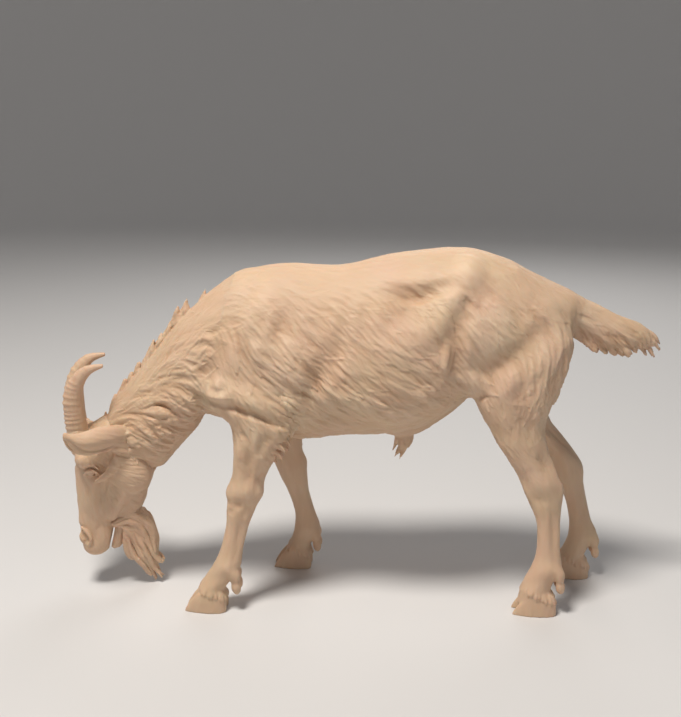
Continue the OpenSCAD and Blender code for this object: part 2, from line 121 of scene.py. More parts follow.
class Clay:
    """A block of samples, step mm apart, that hold the distance to a surface."""

    def __init__(self, low, high, step):
        self.low = np.array(low, float)
        self.step = step
        self.shape = tuple(int(math.ceil((h - l) / step)) + 1 for l, h in zip(low, high))
        self.d = np.full(self.shape, FAR, np.float32)

    def axes(self, cut):
        grids = [(self.low[i] + self.step * np.arange(s.start, s.stop)).astype(np.float32)
                 for i, s in enumerate(cut)]
        return np.meshgrid(*grids, indexing="ij", sparse=True)

    def window(self, low, high, margin):
        """The part of the block around a box, or None where they don't meet."""
        cut = []
        for i in range(3):
            a = max(int((low[i] - margin - self.low[i]) / self.step), 0)
            b = min(int((high[i] + margin - self.low[i]) / self.step) + 2, self.shape[i])
            if b - a < 2:
                return None
            cut.append(slice(a, b))
        return tuple(cut)

    def loft_distance(self, stations, sides=48, n=6):
        """The part of the block round a loft, and the distances to it there."""
        points, faces = loft(stations, sides, n)
        cut = self.window(points.min(0), points.max(0), FAR)
        low = self.low + self.step * np.array([s.start for s in cut])
        grid = vdb.FloatGrid.createLevelSetFromPolygons(
            (points - low).astype(np.float32), triangles=faces.astype(np.uint32),
            transform=vdb.createLinearTransform(voxelSize=self.step), halfWidth=FAR / self.step)
        out = np.full([s.stop - s.start for s in cut], FAR, np.float32)
        grid.copyToArray(out)
        return cut, out

    def add_loft(self, stations, k, sides=48, n=6):
        cut, d = self.loft_distance(stations, sides, n)
        self.merge(cut, d, k, 1)

    def side_y(self, x, z, side):
        """The Y of the surface met first, coming in from one side at x, z. None if there isn't one."""
        i = int(round((x - self.low[0]) / self.step))
        k = int(round((z - self.low[2]) / self.step))
        if not (0 <= i < self.shape[0] and 0 <= k < self.shape[2]):
            return None
        solid = np.nonzero(self.d[i, :, k] < 0)[0]
        if not len(solid):
            return None
        return self.low[1] + self.step * (solid[0] if side == LEFT else solid[-1])

    def sample(self, points):
        """The distance at each point, from the nearest eight samples."""
        q = (points - self.low) / self.step
        q = np.clip(q, 0, np.array(self.shape) - 1.001)
        i = q.astype(int)
        f = q - i
        out = np.zeros(len(points))
        for corner in range(8):
            o = np.array([corner & 1, corner >> 1 & 1, corner >> 2 & 1])
            w = np.prod(np.where(o, f, 1 - f), axis=1)
            j = i + o
            out += w * self.d[j[:, 0], j[:, 1], j[:, 2]]
        return out

    def merge(self, cut, d, k, sign):
        """Adds (sign 1) or carves (sign -1) a shape, with an edge softened over k."""
        if sign > 0:
            self.d[cut] = soft_min(self.d[cut], d, k)
        else:
            self.d[cut] = soft_max(self.d[cut], -d, k)

    def blob(self, centre, radii, k, lean=0.0, sign=1):
        """Adds or carves an ellipsoid, whose top leans lean degrees towards -X."""
        c, r = np.array(centre, float), np.array(radii, float)
        cut = self.window(c - r.max(), c + r.max(), k + 0.5)
        if cut is None:
            return
        x, y, z = self.axes(cut)
        x, y, z = x - c[0], y - c[1], z - c[2]
        if lean:
            cl, sl = math.cos(math.radians(lean)), math.sin(math.radians(lean))
            x, z = x * cl + z * sl, z * cl - x * sl
        inner = np.sqrt((x / r[0]) ** 2 + (y / r[1]) ** 2 + (z / r[2]) ** 2)
        slope = np.sqrt((x / r[0] ** 2) ** 2 + (y / r[1] ** 2) ** 2 + (z / r[2] ** 2) ** 2)
        d = inner * (inner - 1) / np.maximum(slope, 1e-6)
        self.merge(cut, d.astype(np.float32), k, sign)

    def tube(self, points, radii, k, sign=1):
        """Adds or carves a smooth curved tube whose radius changes along it."""
        p = smooth_path(points, radii)
        low, high = (p[:, :3] - p[:, 3:]).min(0), (p[:, :3] + p[:, 3:]).max(0)
        cut = self.window(low, high, k + 0.4)
        if cut is None:
            return
        x, y, z = self.axes(cut)
        best = None
        for a, b in zip(p[:-1], p[1:]):
            way = b[:3] - a[:3]
            long2 = max(float(way @ way), 1e-9)
            qx, qy, qz = x - a[0], y - a[1], z - a[2]
            t = np.clip((qx * way[0] + qy * way[1] + qz * way[2]) / long2, 0, 1)
            d = np.sqrt((qx - t * way[0]) ** 2 + (qy - t * way[1]) ** 2 + (qz - t * way[2]) ** 2)
            d = d - (a[3] + t * (b[3] - a[3]))
            best = d if best is None else np.minimum(best, d)
        self.merge(cut, best.astype(np.float32), k, sign)

    def finer(self):
        """The same clay with samples half as far apart, smoothed as a cubic B-spline."""
        out = Clay(self.low, self.low, self.step / 2)
        d = self.d
        for axis in range(3):
            d = np.moveaxis(d, axis, 0)
            n = d.shape[0]
            fine = np.empty((2 * n - 1,) + d.shape[1:], np.float32)
            fine[0], fine[-1] = d[0], d[-1]
            fine[2:-1:2] = (d[:-2] + d[1:-1] * 6 + d[2:]) / 8
            fine[1::2] = (d[:-1] + d[1:]) / 2
            d = np.moveaxis(fine, 0, axis)
        out.d = np.ascontiguousarray(d)
        out.shape = out.d.shape
        return out

    def mesh(self):
        grid = vdb.FloatGrid(FAR)
        grid.copyFromArray(np.clip(self.d, -FAR, FAR))
        grid.transform = vdb.createLinearTransform(voxelSize=self.step)
        points, quads = grid.convertToQuads(0.0)
        points = points.astype(float) + self.low
        faces = np.concatenate([quads[:, [0, 1, 2]], quads[:, [0, 2, 3]]]).astype(np.int64)
        a, b, c = (points[faces[:, i]] for i in range(3))
        if (a * np.cross(b, c)).sum() < 0:
            faces = faces[:, ::-1]
        return points, faces


def smooth_path(points, radii):
    """Rows of x, y, z, radius on a smooth curve through the points."""
    p = np.array(points, float)
    r = np.interp(np.linspace(0, 1, len(p)), np.linspace(0, 1, len(radii)), radii)
    rows = flow([tuple(q) + (w,) for q, w in zip(p, r)], CURVE_STEPS)[:, :4]
    rows[:, 3] = np.maximum(rows[:, 3], THINNEST)
    return rows


def vertex_normals(points, faces):
    a, b, c = (points[faces[:, i]] for i in range(3))
    face = np.cross(b - a, c - a)
    out = np.zeros_like(points)
    for axis in range(3):
        for corner in range(3):
            out[:, axis] += np.bincount(faces[:, corner], face[:, axis], len(points))
    return out / np.maximum(np.linalg.norm(out, axis=1, keepdims=True), 1e-12)


# ---------- relief: strokes on the sides ----------
def stroke_height(x, z, points, radius, height):
    """Height of a round-backed stroke along a polyline, at places x, z of the side view."""
    p = flow(points, CURVE_STEPS)[:, :2]
    near = np.full(len(x), 1e9)
    if len(p) == 1:
        near = (x - p[0, 0]) ** 2 + (z - p[0, 1]) ** 2
    along = np.zeros(len(x))
    lengths = np.linalg.norm(np.diff(p, axis=0), axis=1)
    total = max(lengths.sum(), 1e-9)
    start = 0.0
    for a, b, long in zip(p[:-1], p[1:], lengths):
        way = b - a
        t = np.clip(((x - a[0]) * way[0] + (z - a[1]) * way[1]) / max(way @ way, 1e-9), 0, 1)
        d = (x - a[0] - t * way[0]) ** 2 + (z - a[1] - t * way[1]) ** 2
        closer = d < near
        near = np.where(closer, d, near)
        along = np.where(closer, (start + t * long) / total, along)
        start += long
    fall = np.clip(1 - near / radius ** 2, 0, 1) ** 2
    if len(p) > 1:
        fall = fall * (0.25 + 0.75 * np.sin(np.pi * np.clip(along, 0, 1)) ** 0.8)
    return height * fall


def relief(points, normals, strokes):
    """Total height of the strokes, each (points, radius, height), on both sides."""
    out = np.zeros(len(points))
    facing = np.clip(np.abs(normals[:, 1]) * 1.8, 0, 1)
    for path, radius, height in strokes:
        p = np.array(path, float)
        low, high = p.min(0) - radius, p.max(0) + radius
        pick = np.nonzero((points[:, 0] > low[0]) & (points[:, 0] < high[0])
                          & (points[:, 2] > low[1]) & (points[:, 2] < high[1]))[0]
        if len(pick):
            x, z = points[pick, 0], points[pick, 2]
            out[pick] += stroke_height(x, z, path, radius, height) * facing[pick]
    return out


# ---------- hair ----------
SHORTEST_HAIR = 0.015  # locks lower than this are left out
STRANDS_IN_LOCK = 2.5
FIELD_CELL = 1.5  # cells of the coarse field of directions


def coat_at(x, z, table):
    """Angle, height, length and width of the hair, blended from the nearest rows of the table."""
    t = np.array(table, float)
    angle = np.radians(t[:, 2])
    rows = np.stack([np.cos(angle), np.sin(angle), t[:, 3], t[:, 4], t[:, 5]], 1)
    weight = ((x[:, None] - t[None, :, 0]) ** 2 + (z[:, None] - t[None, :, 1]) ** 2 + 1.0) ** -2.0
    got = weight @ rows / weight.sum(1, keepdims=True)
    return got[:, 0], got[:, 1], got[:, 2], got[:, 3], got[:, 4]


def hair_way(points, normals, coat):
    """The hair's direction along the skin at each point, and its height, length and width."""
    cx, cz, tall, long, wide = coat_at(points[:, 0], points[:, 2], coat)
    way = np.stack([cx, np.zeros(len(cx)), cz], 1)
    way -= normals * (way * normals).sum(1, keepdims=True)
    way /= np.maximum(np.linalg.norm(way, axis=1, keepdims=True), 1e-6)
    return way, tall, long, wide


class Bins:
    """Finds the points near a place."""

    def __init__(self, points, size):
        self.size = size
        self.low = points.min(0) - 1e-6
        cell = ((points - self.low) / size).astype(int)
        self.counts = cell.max(0) + 1
        key = (cell[:, 0] * self.counts[1] + cell[:, 1]) * self.counts[2] + cell[:, 2]
        self.order = np.argsort(key, kind="stable")
        total = int(np.prod(self.counts))
        self.first = np.searchsorted(key[self.order], np.arange(total + 1))

    def near(self, centre, radius):
        a = np.maximum(((centre - radius - self.low) / self.size).astype(int), 0)
        b = np.minimum(((centre + radius - self.low) / self.size).astype(int), self.counts - 1)
        if (b < a).any():
            return np.zeros(0, int)
        i, j = np.meshgrid(np.arange(a[0], b[0] + 1), np.arange(a[1], b[1] + 1), indexing="ij")
        row = (i.ravel() * self.counts[1] + j.ravel()) * self.counts[2]
        starts, stops = self.first[row + a[2]], self.first[row + b[2] + 1]
        spans = [self.order[s:e] for s, e in zip(starts, stops) if e > s]
        return np.concatenate(spans) if spans else np.zeros(0, int)


def comb(points, normals, way, height, length, width, spacing, rng, bins):
    """Height of overlapping pointed locks of hair, rooted about one per spacing-sized cell."""
    shuffled = rng.permutation(len(points))
    cell = np.floor(points[shuffled] / spacing).astype(int)
    _, pick = np.unique(cell, axis=0, return_index=True)
    roots = shuffled[np.sort(pick)]
    out = np.zeros(len(points))
    grow = rng.uniform(0.75, 1.3, len(roots))
    swing = rng.normal(0, 0.10, len(roots))
    curl = rng.normal(0, 0.035, len(roots))
    phase = rng.uniform(0, 6.28, len(roots))
    for n, root in enumerate(roots):
        tall = height[root]
        if tall < SHORTEST_HAIR:
            continue
        normal = normals[root]
        t = way[root]
        b = np.cross(normal, t)
        t = t * math.cos(swing[n]) + b * math.sin(swing[n])
        b = np.cross(normal, t)
        long, wide = length[root] * grow[n], width[root] * grow[n] / 2
        near = bins.near(points[root] + t * long / 2, long / 2 + wide)
        if not len(near):
            continue
        q = points[near] - points[root]
        s = q @ t / long
        w = q @ b - curl[n] * (s * long) ** 2
        off = q @ normal
        # half the lock's width, round at its root and pointed at its tip
        edge = wide * np.sqrt(np.clip(s * 3.2, 0, 1)) * np.clip((1.02 - s) * 2.1, 0, 1) ** 0.8
        same_skin = (np.abs(off) < 3.0) & (normals[near] @ normal > 0.3)
        ok = (s > 0) & (s < 1) & (np.abs(w) < edge) & same_skin
        if not ok.any():
            continue
        near, s, w, edge = near[ok], s[ok], w[ok], edge[ok]
        across = w / np.maximum(edge, 1e-6)
        shape = (0.10 + 0.90 * s ** 0.8) * (1 - across ** 2) ** 0.75
        shape *= 1 - 0.16 * (1 - np.cos(across * STRANDS_IN_LOCK * 3.14 + phase[n])) * (0.4 + 0.6 * s)
        out[near] = np.maximum(out[near], tall * (0.7 + 0.3 * grow[n]) * shape)
    return out


def blurred(a, radius):
    """a, smoothed over about radius samples along both axes, wrapping round at the edges."""
    n = max(int(round(radius)), 1)
    for axis in (0, 1):
        for _ in range(2):
            a = sum(np.roll(a, j, axis) for j in range(-n, n + 1)) / (2 * n + 1)
    return a


class Strands:
    """Hair drawn on one flat view of the body: noise smeared along a field of directions."""

    def __init__(self, low, high, step, way, width, reach, rng):
        self.low, self.step = np.array(low, float), step
        self.shape = tuple(int((h - l) / step) + 2 for l, h in zip(low, high))
        u = low[0] + step * np.arange(self.shape[0])
        v = low[1] + step * np.arange(self.shape[1])
        coarse_u, coarse_v = (np.arange(low[i], high[i] + FIELD_CELL, FIELD_CELL) for i in (0, 1))
        cu, cv = way(*[g.ravel() for g in np.meshgrid(coarse_u, coarse_v, indexing="ij")])
        size = (len(coarse_u), len(coarse_v))
        iu = np.clip((u - low[0]) / FIELD_CELL, 0, size[0] - 1.001)
        iv = np.clip((v - low[1]) / FIELD_CELL, 0, size[1] - 1.001)
        du, dv = (self.stretch(c.reshape(size), iu, iv) for c in (cu, cv))
        size = np.maximum(np.hypot(du, dv), 1e-6)
        du, dv = (du / size).astype(np.float32), (dv / size).astype(np.float32)
        noise = blurred(rng.standard_normal(self.shape).astype(np.float32), width / step / 3)
        noise /= noise.std()
        total = np.zeros(self.shape, np.float32)
        gu, gv = np.meshgrid(np.arange(self.shape[0], dtype=np.float32),
                             np.arange(self.shape[1], dtype=np.float32), indexing="ij")
        count = int(reach / step / 2)
        for sign in (-1, 1):
            pu, pv = gu.copy(), gv.copy()
            for n in range(count):
                i = np.clip(np.rint(pu), 0, self.shape[0] - 1).astype(np.int32)
                j = np.clip(np.rint(pv), 0, self.shape[1] - 1).astype(np.int32)
                total += noise[i, j] * (1 - n / count)
                pu += du[i, j] * sign
                pv += dv[i, j] * sign
        total = (total + blurred(total, 1)) / 2
        self.value = total / total.std()

    @staticmethod
    def stretch(c, iu, iv):
        a, b = iu.astype(int), iv.astype(int)
        fu, fv = (iu - a)[:, None], (iv - b)[None]
        return ((c[a][:, b] * (1 - fv) + c[a][:, b + 1] * fv) * (1 - fu)
                + (c[a + 1][:, b] * (1 - fv) + c[a + 1][:, b + 1] * fv) * fu)

    def at(self, u, v):
        q = np.clip((u - self.low[0]) / self.step, 0, self.shape[0] - 1.001)
        r = np.clip((v - self.low[1]) / self.step, 0, self.shape[1] - 1.001)
        i, j = q.astype(int), r.astype(int)
        f, g = q - i, r - j
        return (self.value[i, j] * (1 - f) * (1 - g) + self.value[i + 1, j] * f * (1 - g)
                + self.value[i, j + 1] * (1 - f) * g + self.value[i + 1, j + 1] * f * g)


def strand_height(points, normals, table, step, width, reach, rng):
    """Hair strands on every side of a mesh, about 1 high, following the coat's directions."""
    low, high = points.min(0) - 1, points.max(0) + 1

    def side_way(x, z):
        return coat_at(x, z, table)[:2]

    def top_way(x, y):
        return np.ones(len(x)), 0.3 * np.tanh(y / 4)

    def end_way(y, z):
        return 0.25 * np.tanh(y / 4), -np.ones(len(y))

    weight = np.abs(normals) ** 3
    weight /= np.maximum(weight.sum(1, keepdims=True), 1e-6)

    def view(axes, way):
        return Strands(low[axes], high[axes], step, way, width, reach, rng)

    left, right = view([0, 2], side_way), view([0, 2], side_way)
    x, y, z = points.T
    out = weight[:, 1] * np.where(y < 0, left.at(x, z), right.at(x, z))
    out += weight[:, 2] * view([0, 1], top_way).at(x, y)
    out += weight[:, 0] * view([1, 2], end_way).at(y, z)
    return np.clip(out, -2.2, 2.2)


# ---------- parting at the seams ----------
def part(points, faces, extra, side):
    """Parts a mesh where the vertex values side change sign. Returns (negative part, positive part), each
    closed with a cap, as (points, faces, extra), where extra holds further columns for each point."""
    tiny = np.where(np.abs(side) < 1e-6, 1e-6, side)
    sign = tiny > 0
    crossing = sign[faces]
    whole_in, whole_out = (~crossing).all(1), crossing.all(1)
    mixed = faces[~whole_in & ~whole_out]
    flags = sign[mixed]
    lone = np.where(flags.sum(1) == 1, flags.argmax(1), (~flags).argmax(1))
    rows = np.arange(len(mixed))
    a, b, c = mixed[rows, lone], mixed[rows, (lone + 1) % 3], mixed[rows, (lone + 2) % 3]
    edges = np.sort(np.concatenate([np.stack([a, b], 1), np.stack([a, c], 1)]), axis=1)
    unique, inverse = np.unique(edges, axis=0, return_inverse=True)
    inverse = inverse.reshape(-1)
    u, v = unique[:, 0], unique[:, 1]
    t = (tiny[u] / (tiny[u] - tiny[v]))[:, None]
    points2 = np.concatenate([points, points[u] * (1 - t) + points[v] * t])
    extra2 = np.concatenate([extra, extra[u] * (1 - t) + extra[v] * t])
    ab, ac = len(points) + inverse[:len(a)], len(points) + inverse[len(a):]
    lone_faces = np.stack([a, ab, ac], 1)
    pair_faces = np.concatenate([np.stack([ab, b, c], 1), np.stack([ab, c, ac], 1)])
    lone_sign = sign[a]
    pair_sign = np.concatenate([~lone_sign, ~lone_sign])
    out = []
    for want, whole in ((False, whole_in), (True, whole_out)):
        kept = [faces[whole], lone_faces[lone_sign == want], pair_faces[pair_sign == want]]
        # the cut edges run against the faces that they close
        rim = np.concatenate([np.stack([ac, ab], 1)[lone_sign == want],
                              np.stack([ab, ac], 1)[lone_sign != want]])
        caps, cap_points, cap_extra = cap(points2, extra2, rim, len(points2))
        out.append(tidy(np.concatenate([points2] + cap_points), np.concatenate(kept + caps),
                        np.concatenate([extra2] + cap_extra)))
    return out


def cap(points, extra, rim, next_index):
    """Fans of triangles that close each loop of rim edges."""
    follow = dict(zip(rim[:, 0].tolist(), rim[:, 1].tolist()))
    caps, cap_points, cap_extra = [], [], []
    while follow:
        start, at = follow.popitem()
        loop = [start]
        while at != start and at in follow:
            loop.append(at)
            at = follow.pop(at)
        ring = np.array(loop)
        cap_points.append(points[ring].mean(0, keepdims=True))
        cap_extra.append(extra[ring].mean(0, keepdims=True))
        caps.append(np.stack([np.full(len(ring), next_index), ring, np.roll(ring, -1)], 1))
        next_index += 1
    return caps, cap_points, cap_extra


def tidy(points, faces, extra):
    """Drops points that no face uses."""
    used = np.zeros(len(points), bool)
    used[faces.ravel()] = True
    new = np.cumsum(used) - 1
    return points[used], new[faces], extra[used]


def largest_shell(points, faces, extra):
    """Keeps only the biggest connected part of a mesh."""
    label = np.arange(len(points))
    while True:
        low = label[faces].min(1)
        new = label.copy()
        for corner in range(3):
            np.minimum.at(new, faces[:, corner], low)
        new = new[new]
        if (new == label).all():
            break
        label = new
    names, counts = np.unique(label, return_counts=True)
    keep = label == names[counts.argmax()]
    return tidy(points, faces[keep[faces[:, 0]]], extra)


# ---------- the castings: stations close to the CAD's, [x, y, z, tilt, depth, width, egg] ----------
TRUNK = [
    [-30.7, 0, 68.2, -12.9, 18.7, 12.5, 0.06],
    [-22, 0, 67.4, -5, 20.9, 13.3, 0.04],
    [-12, 0, 66.2, 0, 22.9, 14.8, 0.04],
    [0, 0, 66.7, 0, 22.0, 16.0, 0.10],
    [12, 0, 68.5, 0, 23.0, 17.0, 0.14],
    [22, 0, 70.3, 0, 22.5, 16.5, 0.14],
    [31, 0, 73.6, 0, 19.6, 14.4, 0.10],
    [40, 0, 74.8, -3, 16.0, 12.4, 0.04],
    [49, 0, 74.6, -8, 11.4, 9.8, 0],
    [56, 0, 75.6, -15, 7.3, 6.6, 0],
    [59, 0, 76.0, -20, 4.9, 3.6, 0],
]
SHEATH = [
    [9, 0, 47.6, -4, 1.6, 1.6, 0],
    [14, 0, 46.6, 0, 2.6, 2.2, 0],
    [20, 0, 47.2, 10, 2.4, 2.1, 0],
    [27, 0, 51.5, 30, 1.8, 1.8, 0],
    [33, 0, 57, 35, 1.2, 1.4, 0],
]
SEAM_FRONT, SEAM_HIND = 49, 47
FAR_HAUNCH_BACK = 3.6


def shoulder(side):
    return [
        [-20.4, side * 11.6, SEAM_FRONT - 6, 90, 3.6, 3.0, 0],
        [-18.9, side * 11.6, SEAM_FRONT, 90, 6.9, 4.4, 0],
        [-21.0, side * 11.2, 54, 90, 9.6, 5.2, 0],
        [-22.6, side * 10.2, 61, 90, 10.2, 5.2, 0],
        [-22.0, side * 8.8, 70, 90, 9.0, 5.0, 0],
        [-19.0, side * 6.0, 79, 90, 6.5, 4.0, 0],
        [-17.5, side * 3.6, 85, 90, 3.5, 2.2, 0],
    ]


def haunch(side, back):
    return [
        [47.4 + back * 1.4, side * 9.4, SEAM_HIND - 6, 90, 3.2, 2.6, 0],
        [45.3 + back, side * 9.2, SEAM_HIND, 90, 5.6, 4.2, 0],
        [44.1 + back * 0.8, side * 9.1, 51.5, 90, 7.4, 5.3, 0],
        [43.6 + back * 0.5, side * 8.8, 57, 90, 9.9, 6.0, 0],
        [43.4, side * 8.0, 64, 90, 13.0, 6.4, 0],
        [44.0, side * 6.8, 72, 90, 13.6, 6.0, 0],
        [41.0, side * 5.4, 79.5, 90, 11.0, 5.0, 0],
        [37.0, side * 4.0, 87, 90, 6.5, 3.2, 0],
    ]


POLL = [-56.6, 0, 41.0, 37.9, 8.9, 6.6, 0.05]
NECK = [
    [-57.6, 0, 40.0, 37.9, 7.8, 5.8, 0.05],
    [-56.2, 0, 41.2, 37.9, 9.0, 6.4, 0.05],
    [-51.6, 0, 46.0, 22, 11.7, 7.7, 0.10],
    [-46.1, 0, 52.2, 13, 12.7, 8.7, 0.12],
    [-39.5, 0, 59.9, 4, 14.9, 10.3, 0.12],
    TRUNK[0],
    [-23.5, 0, 67.3, -6, 20.0, 12.8, 0.04],
]
TAIL = [
    [56, 0, 75.6, -15, 5.4, 4.2, 0],
    TRUNK[10],
    [63.5, 0, 74.2, -15, 5.0, 3.3, 0.1],
    [68, 0, 72.5, -12, 4.6, 3.2, 0.1],
    [72.5, 0, 71.4, -14, 3.9, 2.8, 0.1],
    [76.2, 0, 70.6, -30, 2.5, 1.9, 0],
    [79.0, 0, 68.8, -50, 0.8, 0.7, 0],
]
# The tuft's locks: points, radii.
TUFT = [
    ([(17.6, -0.2, 47.0), (17.6, -0.4, 43.6), (16.9, -0.3, 40.8), (15.6, -0.2, 37.4)], [1.2, 0.9, 0.7, 0.12]),
    ([(15.2, 0.2, 47.0), (14.9, 0.3, 43.4), (14.4, 0.3, 41.2), (13.7, 0.2, 39.4)], [1.2, 0.8, 0.5, 0.12]),
    ([(16.4, 0.0, 47.0), (16.2, -0.1, 42.0), (15.4, 0.1, 39.8), (14.3, 0.1, 38.0)], [1.4, 0.9, 0.6, 0.12]),
    ([(18.2, 0.3, 46.5), (18.6, 0.4, 43.4), (18.4, 0.3, 41.8), (17.8, 0.2, 40.4)], [1.2, 0.7, 0.4, 0.12]),
]
FRONT_LEFT = [
    [-33.2, -13.5, 2.6, 90, 3.6, 3.0, 0.1],
    [-32.8, -13.5, 6, 90, 3.5, 3.3, 0],
    [-30.5, -13.3, 9.4, 90, 3.7, 3.1, 0],
    [-28.7, -13.1, 12.4, 90, 3.6, 3.1, 0],
    [-27.5, -12.8, 16.5, 90, 2.9, 2.6, 0],
    [-25.9, -12.4, 23, 90, 2.9, 2.5, 0],
    [-24.8, -12.1, 28, 90, 3.8, 3.4, 0],
    [-24.0, -11.9, 31.4, 90, 4.4, 3.7, 0],
    [-22.8, -11.7, 36, 90, 4.2, 3.5, 0],
    [-20.9, -11.6, 42, 90, 5.4, 4.1, 0],
    [-18.8, -11.6, 49, 90, 7.3, 4.6, 0],
    [-19.5, -11.6, 53, 90, 6.4, 3.6, 0],
]
FRONT_RIGHT = [
    [-13.2, 13.5, 2.6, 90, 3.6, 3.0, 0.1],
    [-12.5, 13.5, 6, 90, 3.1, 3.3, 0],
    [-11.0, 13.4, 9.2, 90, 3.3, 3.1, 0],
    [-10.1, 13.2, 12, 90, 3.6, 3.1, 0],
    [-10.7, 12.9, 16.5, 90, 2.8, 2.6, 0],
    [-12.4, 12.5, 22.5, 90, 2.8, 2.5, 0],
    [-13.7, 12.2, 27.5, 90, 3.7, 3.4, 0],
    [-14.4, 12.0, 31, 90, 4.1, 3.7, 0],
    [-15.4, 11.9, 36, 90, 4.1, 3.5, 0],
    [-16.8, 11.8, 42, 90, 5.4, 4.1, 0],
    [-18.8, 11.6, 49, 90, 7.3, 4.6, 0],
    [-19.5, 11.6, 53, 90, 6.4, 3.6, 0],
]
HIND_LEFT = [
    [50.4, -11, 2.6, 90, 4.0, 3.0, 0.1],
    [50.9, -11, 6, 90, 3.8, 3.3, 0],
    [52.0, -10.9, 9.2, 90, 3.8, 3.1, 0],
    [53.6, -10.8, 12.4, 90, 3.9, 3.1, 0],
    [53.9, -10.6, 17, 90, 3.0, 2.6, 0],
    [53.5, -10.4, 24.5, 90, 2.9, 2.5, 0],
    [52.5, -10.2, 30, 84, 4.2, 3.1, 0],
    [51.4, -10.0, 35, 76, 5.8, 3.6, 0],
    [49.1, -9.8, 39.4, 66, 7.1, 3.7, 0],
    [47.1, -9.5, 43.2, 74, 6.4, 4.0, 0],
    [45.8, -9.2, 47, 90, 5.7, 4.5, 0],
    [44.6, -9.1, 51, 90, 5.2, 3.8, 0],
]
HIND_RIGHT = [
    [63.0, 11, 2.6, 90, 4.0, 3.0, 0.1],
    [63.9, 11, 6, 90, 3.4, 3.3, 0],
    [65.3, 10.9, 9.2, 90, 3.5, 3.1, 0],
    [66.7, 10.8, 12.6, 90, 3.9, 3.1, 0],
    [65.7, 10.6, 17, 92, 3.0, 2.6, 0],
    [64.2, 10.4, 23, 94, 2.8, 2.5, 0],
    [62.4, 10.2, 28, 92, 3.5, 3.1, 0],
    [60.9, 10.0, 32.4, 80, 4.9, 3.6, 0],
    [59.0, 9.8, 37.2, 66, 5.9, 3.7, 0],
    [54.7, 9.5, 42, 68, 6.4, 4.0, 0],
    [48.9, 9.2, 47, 80, 6.6, 4.5, 0],
    [47.4, 9.1, 51, 90, 5.2, 3.8, 0],
]
CLAW_W, CLAW_GAP = 3.2, 0.5
HOOF_LOCKS, DEWCLAW_LOCKS = 26, 7  # hair round each foot


def claw(toe, long, y):
    w = CLAW_W / 2
    return [
        [toe + long / 2, y, 0.0, 90, long / 2, w, 0.34],
        [toe + long / 2 + 0.3, y, 1.2, 90, long / 2 - 0.2, w, 0.30],
        [toe + long / 2 + 0.9, y, 3.2, 90, long / 2 - 0.9, w * 0.98, 0.16],
        [toe + long / 2 + 1.5, y, 5.2, 90, long / 2 - 2.0, w * 0.86, 0],
    ]


# name: stations, toe of the sole, length of the sole, dewclaw x and z, side
LEGS = {
    "front_left_leg": (FRONT_LEFT, -39.8, 10.8, -25.9, 9, LEFT),
    "front_right_leg": (FRONT_RIGHT, -19.6, 10.6, -7.0, 9, RIGHT),
    "hind_left_leg": (HIND_LEFT, 45.2, 11, 57.4, 10, LEFT),
    "hind_right_leg": (HIND_RIGHT, 57.6, 11, 70.4, 10, RIGHT),
}

